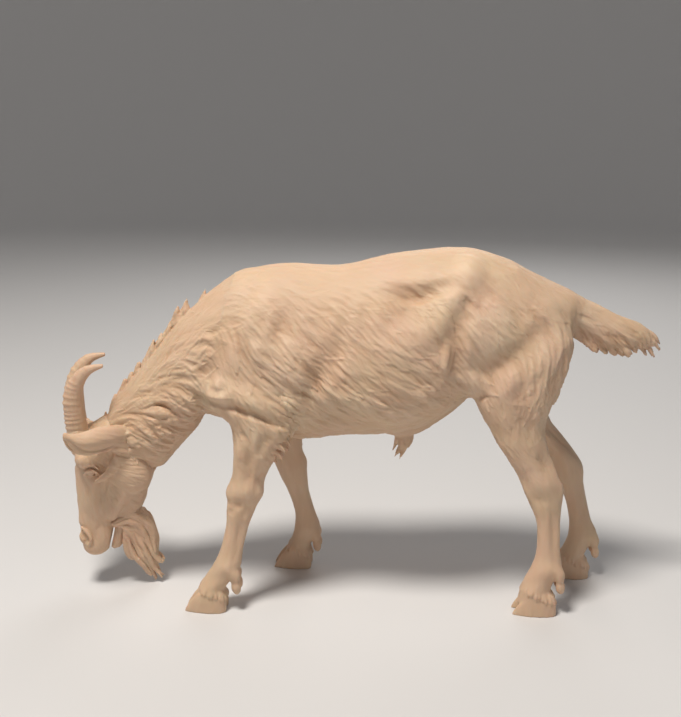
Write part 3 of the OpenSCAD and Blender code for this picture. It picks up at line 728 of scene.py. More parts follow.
# ---------- muscles and folds: (points in the side view, radius, height) ----------
MUSCLES = [
    ([(-29, 72), (-31, 66), (-33, 61), (-34, 56.5)], 4.0, -1.3),
    ([(-31, 58.5)], 6.5, 1.3),
    ([(-30.5, 60.5), (-29, 59.5), (-27, 60.5)], 1.8, -0.5),
    ([(-36, 59.5), (-28, 59.0), (-20, 57.0), (-11, 53.6)], 4.2, 1.1),
    ([(-35, 57.2), (-29.6, 56.5), (-24.8, 55.3), (-21, 54.2)], 1.7, -0.8),
    ([(-24.5, 55.4), (-21, 54.3), (-17.5, 52.8), (-12.5, 50.4)], 2.0, -1.1),
    ([(-33, 54.6), (-29, 53.4)], 2.4, 0.7),
    ([(-31.2, 60.4), (-29.2, 59.3), (-27.2, 60.0)], 1.6, -0.45),
    ([(-36.4, 69.0), (-34.4, 70.0), (-32.8, 70.4), (-30.6, 69.3)], 1.6, -0.5),
    ([(-38.6, 67.8), (-35.7, 67.2), (-33.0, 68.2)], 1.3, -0.3),
    ([(-38, 64.8), (-35.3, 65.4), (-33.2, 67.4)], 1.4, -0.4),
    ([(-42.6, 60.6), (-39.9, 61.4), (-36.5, 61.3), (-35.6, 59.8)], 1.5, -0.5),
    ([(-40.6, 60.4), (-38.7, 59.6), (-36.7, 58.0), (-35.8, 56.2)], 1.4, -0.4),
    ([(-47, 53.7), (-43.9, 53.5), (-41.7, 52.1), (-40, 49.8)], 1.1, -0.7),
    ([(-46, 49.7), (-43.3, 50.6), (-42, 49.2)], 0.9, -0.5),
    ([(-33, 73.2), (-30.7, 73.5), (-28.2, 75.8)], 1.3, -0.4),
    ([(-24.0, 49.2), (-23.4, 47.2)], 1.6, -0.35),
    ([(-16.6, 48.8), (-18.6, 45.6), (-19.2, 42.6)], 2.2, -0.6),
    ([(-21.2, 44.6), (-22, 40), (-22.4, 35.6)], 1.8, -0.6),
    ([(-20, 50), (-20.6, 46), (-20.8, 42)], 1.6, 0.4),
    ([(-24.4, 46), (-24.0, 41)], 1.5, 0.3),
    ([(-27.2, 28.4), (-27.4, 26.4)], 1.6, -0.35),
    ([(-22.0, 29.8), (-23.4, 27.2), (-24.6, 26.4)], 1.8, -0.5),
    ([(-15, 81.5), (-17, 77), (-18, 72), (-20, 66)], 4.0, 0.7),
    ([(-11, 81), (-13, 76), (-14, 72)], 4.0, -0.5),
    ([(-17, 84), (-21, 78), (-24, 71)], 3.6, 0.7),
    ([(-12, 66)], 9.0, 1.3),
    ([(1, 73), (-2, 67.5), (-6, 61), (-9, 56)], 4.6, -1.1),
    ([(-10.5, 56.5)], 4.0, 1.0),
    ([(10, 87.0), (16, 86.0), (22, 87.0), (30, 88.0)], 3.4, 0.7),
    ([(12, 84.0), (17, 83.2), (22, 83.8), (29, 86)], 2.6, -0.9),
    ([(19, 80)], 9.0, -1.0),
    ([(34, 90), (30.5, 86), (27, 81.5), (22.5, 77), (14, 71.5)], 6.5, 1.4),
    ([(33, 83), (29.5, 78), (27.5, 74.5), (24, 70.5)], 4.6, -0.7),
    ([(32, 89)], 5.0, 0.9),
    ([(31, 81.5)], 2.4, -0.5),
    ([(29, 74), (29, 68.5), (28, 64)], 3.0, -0.9),
    ([(26.5, 72), (26.5, 68.5), (26, 64.5)], 1.8, 0.6),
    ([(36, 74)], 10.0, 1.4),
    ([(52, 76), (48, 71.5), (44, 68), (40, 66), (36, 62)], 5.4, -1.2),
    ([(58, 75), (52, 70.5), (47, 66.5), (41, 61), (40, 55.5)], 6.0, 0.8),
    ([(48, 65), (45, 61.5), (44, 57)], 3.6, -0.8),
    ([(47, 81), (52, 78.5), (56, 76)], 5.5, 0.5),
    ([(33, 61.5)], 5.0, 1.1),
    ([(34.5, 59), (36.5, 57.5)], 2.0, -0.7),
    ([(27, 63), (22, 60), (16, 58)], 2.4, 0.5),
    ([(45, 57), (45.5, 53), (48, 46)], 3.2, -0.8),
    ([(-23, 71.5), (-18, 68.5)], 2.2, 0.5),
    ([(2, 80), (1, 74), (0, 68)], 2.4, -0.35),
    ([(7, 80), (6, 74), (6, 68)], 2.4, -0.35),
    ([(12, 78), (12, 73)], 2.4, -0.3),
    ([(-55.5, 38.5), (-52, 37.0), (-49.5, 37.5)], 2.6, -0.6),
    ([(0, 60), (8, 55), (16, 53), (24, 56)], 4.0, 0.6),
    ([(-6, 57), (2, 51), (12, 50)], 3.0, -0.6),
]
# Places where the hair is rough: x, z, radius, how many times taller.
ROUGH = [
    (-23, 70.5, 4.5, 1.9), (-15, 72, 5, 1.5), (-10, 64, 6, 1.5), (-7, 70, 4, 1.6), (-4, 62, 5, 1.6),
    (17, 84.5, 5, 2.4), (25, 86, 4, 2.0), (31, 82, 4, 1.9), (36, 82, 5, 1.6), (47, 79, 5, 1.9),
    (3, 62, 5, 1.6), (10, 58, 6, 1.5), (14, 70, 5, 1.4), (33, 62, 4, 1.8), (44, 58, 4, 1.1),
    (-12, 54, 4, 1.8), (-24, 54, 5, 1.5), (26, 66, 4, 1.4), (22, 60, 4, 1.5), (40, 50, 4, 1.5),
]

# ---------- hair: [x, z, way in degrees up from +X, height, length, width] ----------
COAT = [
    [-62, 50, 45, 0.25, 8, 1.6],
    [-57, 55, 55, 0.35, 10, 1.7],
    [-50, 62, 55, 0.35, 11, 1.8],
    [-44, 70, 55, 0.35, 11, 1.8],
    [-36, 78, 45, 0.18, 10, 1.8],
    [-56, 47, 25, 0.35, 9, 1.6],
    [-50, 54, 25, 0.45, 10, 1.7],
    [-43, 62, 25, 0.36, 10, 1.8],
    [-36, 70, 20, 0.22, 9, 1.8],
    [-52, 47, 330, 0.60, 8, 1.6],
    [-45, 50, 330, 0.60, 8, 1.7],
    [-40, 56, 325, 0.50, 8, 1.8],
    [-36, 62, 320, 0.22, 8, 1.8],
    [-46, 42, 330, 0.30, 6, 1.5],
    [-40, 48, 330, 0.30, 6, 1.5],
    [-30, 79, 20, 0.18, 8, 2.2],
    [-27, 70, 285, 0.26, 7, 2.2],
    [-30, 60, 285, 0.16, 6, 2.0],
    [-20, 86, 330, 0.08, 7, 2.4],
    [-14, 76, 312, 0.26, 8, 2.4],
    [-14, 66, 318, 0.34, 8, 2.2],
    [-16, 58, 325, 0.34, 7, 2.0],
    [-8, 52, 320, 0.34, 6, 2.0],
    [-4, 86, 350, 0.06, 8, 2.4],
    [0, 76, 318, 0.26, 8, 2.4],
    [0, 66, 320, 0.34, 9, 2.4],
    [0, 55, 325, 0.32, 8, 2.4],
    [0, 46, 345, 0.24, 7, 2.2],
    [12, 88, 350, 0.06, 8, 2.4],
    [14, 78, 312, 0.20, 8, 2.4],
    [14, 68, 325, 0.28, 9, 2.4],
    [14, 56, 330, 0.30, 8, 2.4],
    [16, 48, 345, 0.24, 7, 2.2],
    [26, 90, 330, 0.08, 8, 2.4],
    [26, 74, 300, 0.22, 7, 2.2],
    [26, 62, 320, 0.26, 7, 2.2],
    [36, 88, 315, 0.14, 8, 2.2],
    [38, 78, 315, 0.26, 8, 2.2],
    [38, 68, 305, 0.24, 8, 2.2],
    [36, 58, 290, 0.22, 7, 2.0],
    [50, 82, 325, 0.16, 7, 2.2],
    [50, 74, 300, 0.24, 7, 2.2],
    [52, 64, 262, 0.40, 8, 2.0],
    [44, 54, 280, 0.20, 6, 1.8],
    [56, 70, 258, 0.45, 8, 2.0],
    [62, 78, 340, 0.20, 7, 2.0],
    [68, 75, 325, 0.22, 7, 1.2],
    [68, 70.5, 312, 0.45, 6, 1.1],
    [76, 70, 318, 0.40, 6, 1.1],
    [64, 70, 305, 0.45, 6, 1.2],
    [-20, 46, 280, 0.12, 5, 1.6],
    [-14, 45, 300, 0.30, 4, 1.4],
    [-24, 36, 275, 0.08, 5, 1.6],
    [-25, 26, 270, 0.03, 4, 1.4],
    [-28, 10, 250, 0.05, 3, 1.2],
    [-14, 36, 275, 0.08, 5, 1.6],
    [-12, 20, 270, 0.03, 4, 1.4],
    [47, 45, 300, 0.16, 5, 1.6],
    [52, 36, 290, 0.08, 5, 1.6],
    [53, 22, 270, 0.03, 4, 1.4],
    [58, 42, 300, 0.10, 5, 1.6],
    [64, 28, 275, 0.05, 5, 1.6],
    [66, 14, 270, 0.03, 4, 1.4],
]

# Tips of the crest's teeth, in the middle plane, from the poll to the withers.
CREST = [
    (-61.9, 48.2), (-58.9, 53.1), (-56.2, 57.3), (-54.3, 59.3), (-52.3, 61.8), (-50.4, 63.4),
    (-48.3, 67.6), (-46.2, 69.4), (-43.6, 72.6), (-41.5, 76.6), (-39.2, 78.5), (-34.4, 81.1),
]
# Hanging locks along the sides, from root to tip in the side view, with how thick they are.
NECK_LOCKS = [
    ((-58.0, 46.4), (-52.1, 42.8), 1.0), ((-55.2, 47.5), (-49.2, 43.7), 1.1),
    ((-52.8, 48.7), (-47.0, 44.0), 1.1), ((-50, 50.3), (-44.8, 45.6), 1.1),
    ((-47.2, 53.0), (-42.3, 49.2), 1.1), ((-45.2, 54.7), (-40.6, 50.8), 1.0),
    ((-56, 44.8), (-51.5, 41.2), 0.8), ((-50.5, 46), (-46.2, 41.4), 0.8), ((-46.5, 49), (-43, 44.0), 0.8),
    ((-43.5, 58), (-38.6, 54.0), 0.9),
]
ELBOW_LOCKS = [
    ((-14.5, 59.5), (-10.6, 57.0), 0.6), ((-14.5, 58), (-9.8, 55.8), 0.7), ((-15, 56.6), (-10.6, 54.4), 0.7),
    ((-14, 60.8), (-11.0, 58.4), 0.6), ((-15.5, 55), (-11.2, 52.6), 0.6), ((-15.6, 53.4), (-11.6, 51.0), 0.6),
]
FOREARM_LOCKS = [
    ((-15.8, 50.8), (-12.0, 48.0), 0.6), ((-16.5, 48.6), (-12.1, 45.2), 0.65),
    ((-16.9, 46.6), (-12.8, 43.2), 0.6), ((-17.4, 45.0), (-14.0, 41.6), 0.6),
    ((-18.4, 43.9), (-15.6, 40.3), 0.55), ((-19.6, 43.2), (-17.2, 39.8), 0.5),
    ((-18.6, 49.6), (-15.2, 46.4), 0.5), ((-19.0, 47.2), (-16.2, 43.8), 0.5),
]
# Where the tips of rows of loose locks lie.
FOREARM_FRINGE = [(-12.6, 49.2), (-12.5, 47.0), (-12.7, 44.8), (-13.8, 42.4), (-15.2, 40.9), (-16.8, 39.9)]
THIGH_FRINGE = [
    (56.6, 69.0), (56.4, 67.6), (56.0, 65.8), (54.8, 62.6), (54.1, 59.4), (53.1, 56.4), (51.2, 54.4),
]
TAIL_FRINGE = [
    (60.9, 70.9), (63.4, 68.4), (65.8, 67.3), (69.2, 66.9), (72.3, 66.0), (75.7, 67.7), (78.0, 67.6),
]
TAIL_TIPS = [
    ((76.4, 71.6), (81.1, 67.4)), ((75.6, 70.6), (79.6, 65.8)), ((77, 72.2), (80.8, 69.2)),
    ((74.6, 69.8), (77.8, 66.2)),
]


def lay_lock(clay, root, tip, side, radius, lift=0.15, k=0.3):
    """A lock of hair on one side of the body, from root to tip in the side view, curling at its tip."""
    way = np.array(tip, float) - np.array(root, float)
    bulge = np.array([-way[1], way[0]]) * 0.10
    path = [np.array(root) + way * t + bulge * math.sin(t * math.pi) for t in (0, 0.35, 0.7, 1)]
    ys = [clay.side_y(p[0], p[1], side) for p in path]
    if ys[0] is None:
        return
    for i in (1, 2, 3):
        if ys[i] is None or abs(ys[i] - ys[i - 1]) > 2.0:  # past the edge of the body
            ys[i] = ys[i - 1] - side * 0.4
    outward = (-radius * 0.9, -radius * 0.7, -radius * 0.45, lift)
    points = [(p[0], y + side * out, p[1]) for p, y, out in zip(path, ys, outward)]
    clay.tube(points, [radius * 0.8, radius * 1.15, radius * 0.95, 0.12], k)


def lay_locks(clay, locks, **how):
    """The same locks on both sides of the body."""
    for side in (LEFT, RIGHT):
        for root, tip, radius in locks:
            lay_lock(clay, root, tip, side, radius, **how)


def turn_points(points, degrees, x0=POLL_X):
    c, s = math.cos(math.radians(degrees)), math.sin(math.radians(degrees))
    out = points.copy()
    out[:, 0] = x0 + (points[:, 0] - x0) * c - points[:, 1] * s
    out[:, 1] = (points[:, 0] - x0) * s + points[:, 1] * c
    return out


def fringe(clay, tips, count, y_rows, way, radius, rng, k=0.3):
    """A row of loose locks whose tips lie along a line in the side view, hanging the given way."""
    line = np.array(tips, float)
    along = np.concatenate([[0], np.cumsum(np.linalg.norm(np.diff(line, axis=0), axis=1))])
    for y in y_rows:
        for n in range(count):
            at = (n + rng.uniform(0, 1)) / count * along[-1]
            x, z = np.interp(at, along, line[:, 0]), np.interp(at, along, line[:, 1])
            short = rng.uniform(0, 0.9) * (n % 2)
            x, z = x - way[0] * short, z - way[1] * short
            lane = y + rng.uniform(-0.3, 0.3)
            thick = radius * rng.uniform(0.8, 1.2)
            root = (x - way[0] * 4.2, lane * 0.98, z - way[1] * 4.2)
            if clay.sample(np.array([root]))[0] > -thick:
                continue
            clay.tube([root, (x - way[0] * 2.2, lane, z - way[1] * 2.0),
                       (x - way[0] * 0.8, lane, z - way[1] * 0.8 - 0.1), (x, lane * 1.01, z)],
                      [thick, thick * 1.1, thick * 0.75, 0.1], k)


def model_foot(clay, foot_y, toe, long, dew_x, dew_z, rng):
    """Two claws, the pastern's swelling over them with its fringe of hair, and the dewclaws."""
    clay.blob((toe + 8.2, foot_y, 4.9), (2.8, 3.1, 1.9), 0.9, -25)
    for half in (LEFT, RIGHT):
        y = foot_y + half * (CLAW_W + CLAW_GAP) / 2
        clay.add_loft(claw(toe, long, y), 0.3, 32, 6)
        clay.tube([(dew_x - 2.8, foot_y + half * 1.0, dew_z + 3.4),
                   (dew_x - 1.0, foot_y + half * 1.4, dew_z + 1.4),
                   (dew_x - 0.7, foot_y + half * 1.5, dew_z + 0.4)], [1.4, 1.6, 1.4], 0.8)
        clay.blob((dew_x - 0.3, foot_y + half * 1.7, dew_z - 2.1), (1.2, 1.0, 2.0), 0.6, 8)
    cleft = [(toe + along, foot_y, z) for along, z in ((-0.4, 0), (0.9, 2.6), (2.9, 5.6), (4.6, 8))]
    clay.tube(cleft, [0.35, 0.45, 0.5, 0.2], 0.35, -1)
    for n in range(HOOF_LOCKS):
        a = n / HOOF_LOCKS * 2 * math.pi + rng.uniform(-0.08, 0.08)
        cx, cy = math.cos(a), math.sin(a)
        x = toe + 7.0 + 4.2 * cx
        tip = max(5.6 - 0.42 * (x - toe - 3.4), 2.6) + rng.uniform(-0.3, 0.3)
        for height in (1.8, 0.0):
            out = np.arange(2.0, 6.5, 0.08)
            ray = np.stack([toe + 7.0 + out * cx, foot_y + out * 0.85 * cy,
                            np.full(len(out), tip + height)], 1)
            outside = np.nonzero(clay.sample(ray) > 0)[0]
            if not len(outside):
                break
            if height:
                start = ray[outside[0]]
                continue
            end = ray[outside[0]] + np.array([cx, cy, 0]) * 0.05
            thick = 0.25 if cx < -0.7 else 0.42
            root = start + np.array([-cx * 0.5, -cy * 0.5, 0.6])
            clay.tube([tuple(root), tuple((start + end) / 2), tuple(end)], [thick * 0.7, thick, 0.12], 0.2)
    for n in range(DEWCLAW_LOCKS):
        y = foot_y + (n - DEWCLAW_LOCKS // 2) * 0.75
        clay.tube([(dew_x - 2.0, y, dew_z + 2.6), (dew_x - 0.3, y, dew_z + 0.6),
                   (dew_x - 0.1, y, dew_z - 0.9 - 0.4 * (n % 2))], [0.6, 0.55, 0.12], 0.3)


# Relief round a leg: angle from the front towards the outside, height on the leg, spread in degrees and in
# mm, how far it stands out.
FRONT_LEG_RELIEF = [
    (0, 32.5, 45, 3.0, 0.45), (25, 29.6, 30, 1.6, -0.50), (60, 33.0, 30, 2.5, 0.35),
    (80, 29.4, 32, 2.0, -0.80), (100, 33.5, 25, 2.5, 0.35), (165, 32.0, 30, 2.5, 0.5),
    (130, 36.5, 22, 3.0, -0.5), (110, 21, 24, 7, -0.35), (150, 21, 24, 7, 0.25),
    (60, 20, 30, 7, 0.15), (90, 12.5, 40, 2.2, 0.35), (60, 9.0, 30, 2.0, -0.2),
    (35, 42, 30, 5.5, 0.45), (75, 42, 22, 6.5, -0.35), (105, 43, 22, 5.0, 0.35),
    (95, 37, 18, 3.0, -0.35), (-60, 33, 30, 2.5, 0.3), (-110, 21, 24, 7, -0.3),
    (-90, 12.5, 40, 2.2, 0.3), (-75, 42, 25, 6, 0.3),
]
HIND_LEG_RELIEF = [
    (90, 36, 35, 2.8, 0.40), (50, 37, 25, 3.0, -0.25), (20, 33, 30, 3.0, 0.30),
    (70, 31.5, 35, 2.0, -0.35), (125, 41, 22, 4.0, -0.80), (165, 41, 25, 5, 0.35),
    (60, 43, 30, 5, 0.35), (110, 22, 24, 8, -0.40), (150, 22, 24, 8, 0.25),
    (60, 20, 30, 8, 0.15), (90, 12.8, 40, 2.4, 0.35), (60, 9.4, 30, 2.0, -0.2),
    (140, 34, 28, 2.5, -0.3), (-90, 36, 35, 2.8, 0.35), (-125, 41, 22, 4.0, -0.70),
    (-110, 22, 24, 8, -0.35), (-90, 12.8, 40, 2.4, 0.3),
]


def leg_relief(points):
    """Knees, tendons and the hollows between them."""
    out = np.zeros(len(points))
    for name, (stations, *_, side) in LEGS.items():
        rows = flow(stations, CURVE_STEPS)
        rows = rows[np.argsort(rows[:, 2])]
        bumps = FRONT_LEG_RELIEF if name.startswith("front") else HIND_LEG_RELIEF
        middle_x = np.interp(points[:, 2], rows[:, 2], rows[:, 0])
        near = np.nonzero((points[:, 2] < 50) & (points[:, 1] * side > 2)
                          & (np.abs(points[:, 0] - middle_x) < 9))[0]
        p = points[near]
        leg_x, leg_y, deep, wide = (np.interp(p[:, 2], rows[:, 2], rows[:, i]) for i in (0, 1, 4, 5))
        x, y = (p[:, 0] - leg_x) / deep, (p[:, 1] - leg_y) / wide
        angle = np.degrees(np.arctan2(y * side, -x))
        for at, z, spread, tall, height in bumps:
            turn = (angle - at + 180) % 360 - 180
            out[near] += height * np.exp(-(turn / spread) ** 2 * 1.5 - ((p[:, 2] - z) / tall) ** 2 * 1.5)
    return out


# ---------- the body: neck, torso, legs, tail and tuft in one block of clay ----------
def lay_body_hair(clay, rng):
    """The loose locks of the body, from the feet up."""
    for stations, *foot, _ in LEGS.values():
        model_foot(clay, stations[0][1], *foot, rng)
    for x, z in CREST:
        for y, drop in ((-0.2, 0.0), (0.3, rng.uniform(1.2, 2.4))):
            y += rng.uniform(-0.2, 0.2)
            x0, z0 = x - drop * 0.6, z - drop
            clay.tube([(x0 + 0.2, y * 0.5, z0 - 4.2), (x0 - 0.4, y * 0.7, z0 - 1.9),
                       (x0 - 0.4, y, z0 - 0.3), (x0 - 0.1, y, z0 + 1.1)], [1.3, 1.0, 0.55, 0.12], 0.25)
    lay_locks(clay, NECK_LOCKS)
    lay_locks(clay, ELBOW_LOCKS)
    lay_locks(clay, FOREARM_LOCKS, lift=0.25, k=0.15)
    for side, back in ((LEFT, 0.0), (RIGHT, 1.0)):
        tips = [(x + 0.8 + back * 0.6, z) for x, z in FOREARM_FRINGE]
        fringe(clay, tips, 9, [side * y for y in (10.0, 11.7, 13.4)], (0.62, -0.78), 0.45, rng, 0.15)
        tips = [(x + 0.5 + back * min(max((68 - z) / 7, 0), 2.2), z) for x, z in THIGH_FRINGE]
        fringe(clay, tips, 13, [side * y for y in (5.4, 7.0, 8.6, 10.2)], (0.28, -0.96), 0.5, rng, 0.4)
    fringe(clay, TAIL_FRINGE, 15, (-1.5, 0.0, 1.5), (0.55, -0.84), 0.5, rng)
    for (x0, z0), (x1, z1) in TAIL_TIPS:
        y = rng.uniform(-0.4, 0.4)
        middle = ((x0 + x1) / 2 + 0.4, y, (z0 + z1) / 2 + 0.3)
        clay.tube([(x0, y, z0), middle, (x1, y * 1.6, z1)], [0.75, 0.55, 0.1], 0.15)


def model_body():
    rng = np.random.default_rng(7)
    clay = Clay((-64, -20.5, -1.5), (86, 20.5, 97), BODY_STEP * 2)
    cut, d = clay.loft_distance(TRUNK)
    clay.d[cut] = d
    trunk = Clay(clay.low, clay.low, clay.step)
    trunk.shape, trunk.d = clay.shape, clay.d.copy()
    lofts = [(NECK, 0.8), (shoulder(LEFT), 3.0), (shoulder(RIGHT), 3.0), (haunch(LEFT, 0), 3.0),
             (haunch(RIGHT, FAR_HAUNCH_BACK), 3.0), (SHEATH, 1.6), (TAIL, 1.3)]
    for stations, k in lofts + [(leg[0], 2.2) for leg in LEGS.values()]:
        clay.add_loft(stations, k)
    clay = clay.finer()
    for points, radii in TUFT:
        clay.tube(points, radii, 0.5)
    lay_body_hair(clay, rng)
    ground = clay.low[2] + clay.step * np.arange(clay.shape[2], dtype=np.float32)
    clay.d = np.maximum(clay.d, -ground[None, None, :])
    points, faces = clay.mesh()
    normals = vertex_normals(points, faces)
    height = relief(points, normals, MUSCLES) + leg_relief(points)
    points = points + normals * height[:, None]
    normals = vertex_normals(points, faces)
    way, tall, long, wide = hair_way(points, normals, COAT)
    for x, z, radius, times in ROUGH:
        near = (points[:, 0] - x) ** 2 + (points[:, 2] - z) ** 2
        tall = tall * (1 + (times - 1) * np.exp(-near / (radius * 0.7) ** 2))
    bins = Bins(points, 1.5)
    hair = comb(points, normals, way, tall * 0.85, long, wide, 2.3, rng, bins)
    hair += comb(points, normals, way, tall * 0.4, long * 0.6, wide * 0.5, 1.4, rng, bins)
    broad = strand_height(points, normals, COAT, 0.3, 1.5, 12, rng)
    fine = strand_height(points, normals, COAT, 0.2, 0.6, 7, rng)
    soft = np.clip(tall, 0.05, 0.6)
    hair += broad * soft * 0.20 + fine * (0.02 + soft * 0.27)
    points = points + normals * hair[:, None]
    # How low each point sits in its coat, which the resin turns into painted shade in the hollows and a
    # painted lighter tone on raised locks.
    painted_shade = hair - tall * 0.8 + height * 0.25
    normals = vertex_normals(points, faces)
    return points, faces, np.concatenate([normals, painted_shade[:, None]], 1), trunk.sample(points)


# The seams between the castings: planes as x, z and tilt, and levels as z.
NECK_SEAM = (TRUNK[0][0], TRUNK[0][2], TRUNK[0][3])
TAIL_SEAM = (60.5, 75.5, -20)
TAIL_FROM_X, TAIL_FROM_Z = 58.6, 60  # the tail lies beyond these
TUFT_SEAM_Z = 43.4
LEG_OFF_TRUNK = 1.4  # a leg begins this far out of the trunk's loft


def seam(points, x, z, tilt):
    """Distance beyond a plane through x, z whose normal leans tilt degrees up from +X."""
    t = math.radians(tilt)
    return (points[:, 0] - x) * math.cos(t) + (points[:, 2] - z) * math.sin(t)


def part_body():
    points, faces, extra, trunk_d = model_body()
    extra = np.concatenate([extra, trunk_d[:, None]], 1)
    pieces = {}
    pieces["neck"], rest = part(points, faces, extra, seam(points, *NECK_SEAM))
    p = rest[0]
    beyond = np.minimum(p[:, 0] - TAIL_FROM_X, p[:, 2] - TAIL_FROM_Z)
    rest, pieces["tail"] = part(*rest, np.minimum(seam(p, *TAIL_SEAM), beyond))
    p = rest[0]
    inside = (np.abs(p[:, 1]) < 4) & (p[:, 0] > 9) & (p[:, 0] < 22) & (p[:, 2] < 46)
    pieces["belly_tuft"], rest = part(*rest, np.where(inside, p[:, 2] - TUFT_SEAM_Z, 1.0))
    for name, (*_, side) in LEGS.items():
        p, trunk_d = rest[0], rest[2][:, 4]
        front = name.startswith("front")
        top = SEAM_FRONT if front else SEAM_HIND
        near = (p[:, 1] * side > 3) & (p[:, 2] < top + 2)
        near &= ((p[:, 0] < -8) | ((p[:, 2] < 40) & (p[:, 0] < 5))) if front else (p[:, 0] > 30)
        above = np.maximum(p[:, 2] - top, LEG_OFF_TRUNK - trunk_d)
        pieces[name], rest = part(*rest, np.where(near, above, 1.0))
    pieces["torso"] = rest
    return pieces


# ---------- the head, in its own frame before it is turned ----------
HEAD = [
    [-65.9, 0, 9.6, 90, 1.6, 1.5, 0],
    [-66.2, 0, 11, 90, 3.3, 2.8, 0],
    [-66.4, 0, 13.4, 90, 4.0, 3.3, 0],
    [-66.2, 0, 16.5, 90, 4.4, 3.3, 0],
    [-65.2, 0, 21, 89, 5.1, 3.5, -0.04],
    [-63.2, 0, 25.5, 86, 7.2, 4.2, -0.10],
    [-61.4, 0, 30, 81, 9.2, 5.0, -0.16],
    [-60.6, 0, 34.6, 70, 10.1, 5.4, -0.18],
    [-59.8, 0, 38.6, 56, 9.8, 6.0, -0.08],
    POLL,
    [-55.8, 0, 41.8, 37.9, 5.5, 4.0, 0],
]
JAW = [
    [-61.3, 0, 11.0, 80, 0.9, 1.2, 0],
    [-60.7, 0, 12.6, 80, 1.5, 1.7, 0],
    [-60.0, 0, 16, 76, 1.8, 1.9, 0],
    [-58.8, 0, 19, 74, 3.0, 2.5, 0],
    [-57.4, 0, 23, 74, 3.4, 3.2, 0],
    [-56.9, 0, 27, 74, 4.5, 4.0, 0],
    [-56.4, 0, 31, 74, 4.9, 4.2, 0],
    [-56.0, 0, 34, 68, 5.8, 4.2, 0],
    [-55.6, 0, 37, 60, 7.0, 4.4, 0],
]
# Parts of the face, given for the right side. The sign is 1 to add and -1 to carve.
FACE_BLOBS = [
    # sign, centre, radii, softness, lean
    (1, (-67.3, 4.6, 37.9), (2.7, 2.4, 2.5), 1.2, 0),  # brow
    (1, (-64.0, 5.2, 39.6), (2.6, 1.6, 1.8), 1.4, 0),  # rim over the socket
    (-1, (-65.6, 6.8, 33.3), (3.3, 2.4, 2.7), 0.9, 0),  # socket
    (1, (-55.4, 4.2, 34.0), (4.9, 2.8, 5.8), 1.6, 20),  # cheek
    (1, (-57.6, 4.0, 37.6), (3.6, 2.6, 2.6), 1.2, 0),  # behind the cheek
    (1, (-69.0, 2.4, 15.0), (1.6, 1.3, 2.2), 0.8, 0),  # nostril wing
    (-1, (-70.2, 3.0, 18.2), (0.6, 0.7, 0.6), 0.5, 0),  # pit over the nostril
    (1, (-66.8, 1.7, 12.0), (3.0, 1.9, 2.6), 0.9, 0),  # upper lip
    (1, (-64.6, 2.1, 14.4), (2.3, 1.8, 3.4), 0.9, -8),  # side of the upper lip
    (1, (-64.2, 2.9, 25.0), (3.6, 1.2, 4.0), 1.8, 0),  # side of the face
]
FACE_TUBES = [
    # sign, points, radii, softness
    (-1, [(-59.6, 7.6, 41.2), (-61.6, 7.2, 38.6), (-63.0, 6.6, 34.8), (-63.4, 6.1, 31.0), (-63.9, 5.6, 27.2),
          (-64.0, 5.0, 22.6)], [1.1, 1.9, 2.3, 2.2, 1.8, 0.9], 0.8),
    (1, [(-64.6, 5.7, 32.0), (-61.8, 6.2, 33.8), (-59.4, 6.4, 37.2), (-58.2, 6.4, 40.2)],
     [0.5, 0.9, 1.0, 0.7], 1.2),
    (-1, [(-69.0, 4.0, 33.0), (-68.4, 4.6, 31.4), (-67.6, 4.9, 29.4), (-66.8, 4.9, 27.0)],
     [0.4, 0.9, 1.2, 0.5], 0.6),
    (1, [(-69.7, 1.2, 34), (-69.8, 1.1, 26), (-69.9, 1.0, 19)], [1.0, 0.8, 0.7], 1.4),
    (-1, [(-60.6, 5.6, 29.5), (-62.0, 4.9, 25), (-63.6, 4.2, 21)], [0.9, 0.9, 0.4], 1.2),
    (1, [(-57.0, 3.8, 29.0), (-59.2, 3.6, 24.5), (-61.4, 3.0, 20.5)], [1.2, 1.0, 0.6], 1.4),
    (1, [(-69.8, 3.0, 18.0), (-68.2, 3.7, 16.7), (-67.4, 3.9, 14.8), (-68.2, 3.5, 12.9)],
     [0.3, 0.5, 0.5, 0.3], 0.4),
    (-1, [(-70.1, 3.0, 16.6), (-69.3, 3.6, 15.8), (-68.6, 3.8, 14.6), (-69.3, 3.5, 13.0)],
     [0.35, 0.9, 0.9, 0.35], 0.2),
    (-1, [(-64.2, 3.6, 19.0), (-65.8, 4.0, 17.0), (-66.0, 4.1, 14.5)], [0.3, 0.45, 0.2], 0.7),
]
EYE = (-66.2, 3.8, 34.1)
MOUTH_X, MOUTH_Z, MOUTH_LEAN = -62.3, 13.9, -13
MOUTH_COS, MOUTH_SIN = 0.974, 0.225  # of the mouth's lean
JAW_TOP_X, JAW_TOP_Z, JAW_TOP_SLOPE = -62.2, 18.6, 1.03  # the jaw lies under this slanting line
FOREHEAD_LOCKS, EAR_LOCKS = 26, 7
BEARD_LANES = (-1, -0.5, 0, 0.5, 1)  # places across the chin, in half widths
CHIN_PATHS = 6  # the first of the beard's paths, which spread wider than the rest
EYELIDS = [
    # points, radius
    ([(-68.0, 4.2, 33.5), (-67.3, 5.0, 34.5), (-66.2, 5.4, 34.9), (-65.1, 5.3, 34.5), (-64.1, 4.8, 33.4)],
     0.5),
    ([(-67.8, 4.2, 33.5), (-67.0, 4.7, 33.1), (-65.9, 4.9, 33.0), (-64.6, 4.8, 33.4)], 0.22),
    ([(-68.0, 4.8, 35.6), (-66.8, 5.3, 36.5), (-65.4, 5.4, 36.5), (-64.0, 5.2, 35.2)], 0.34),
]
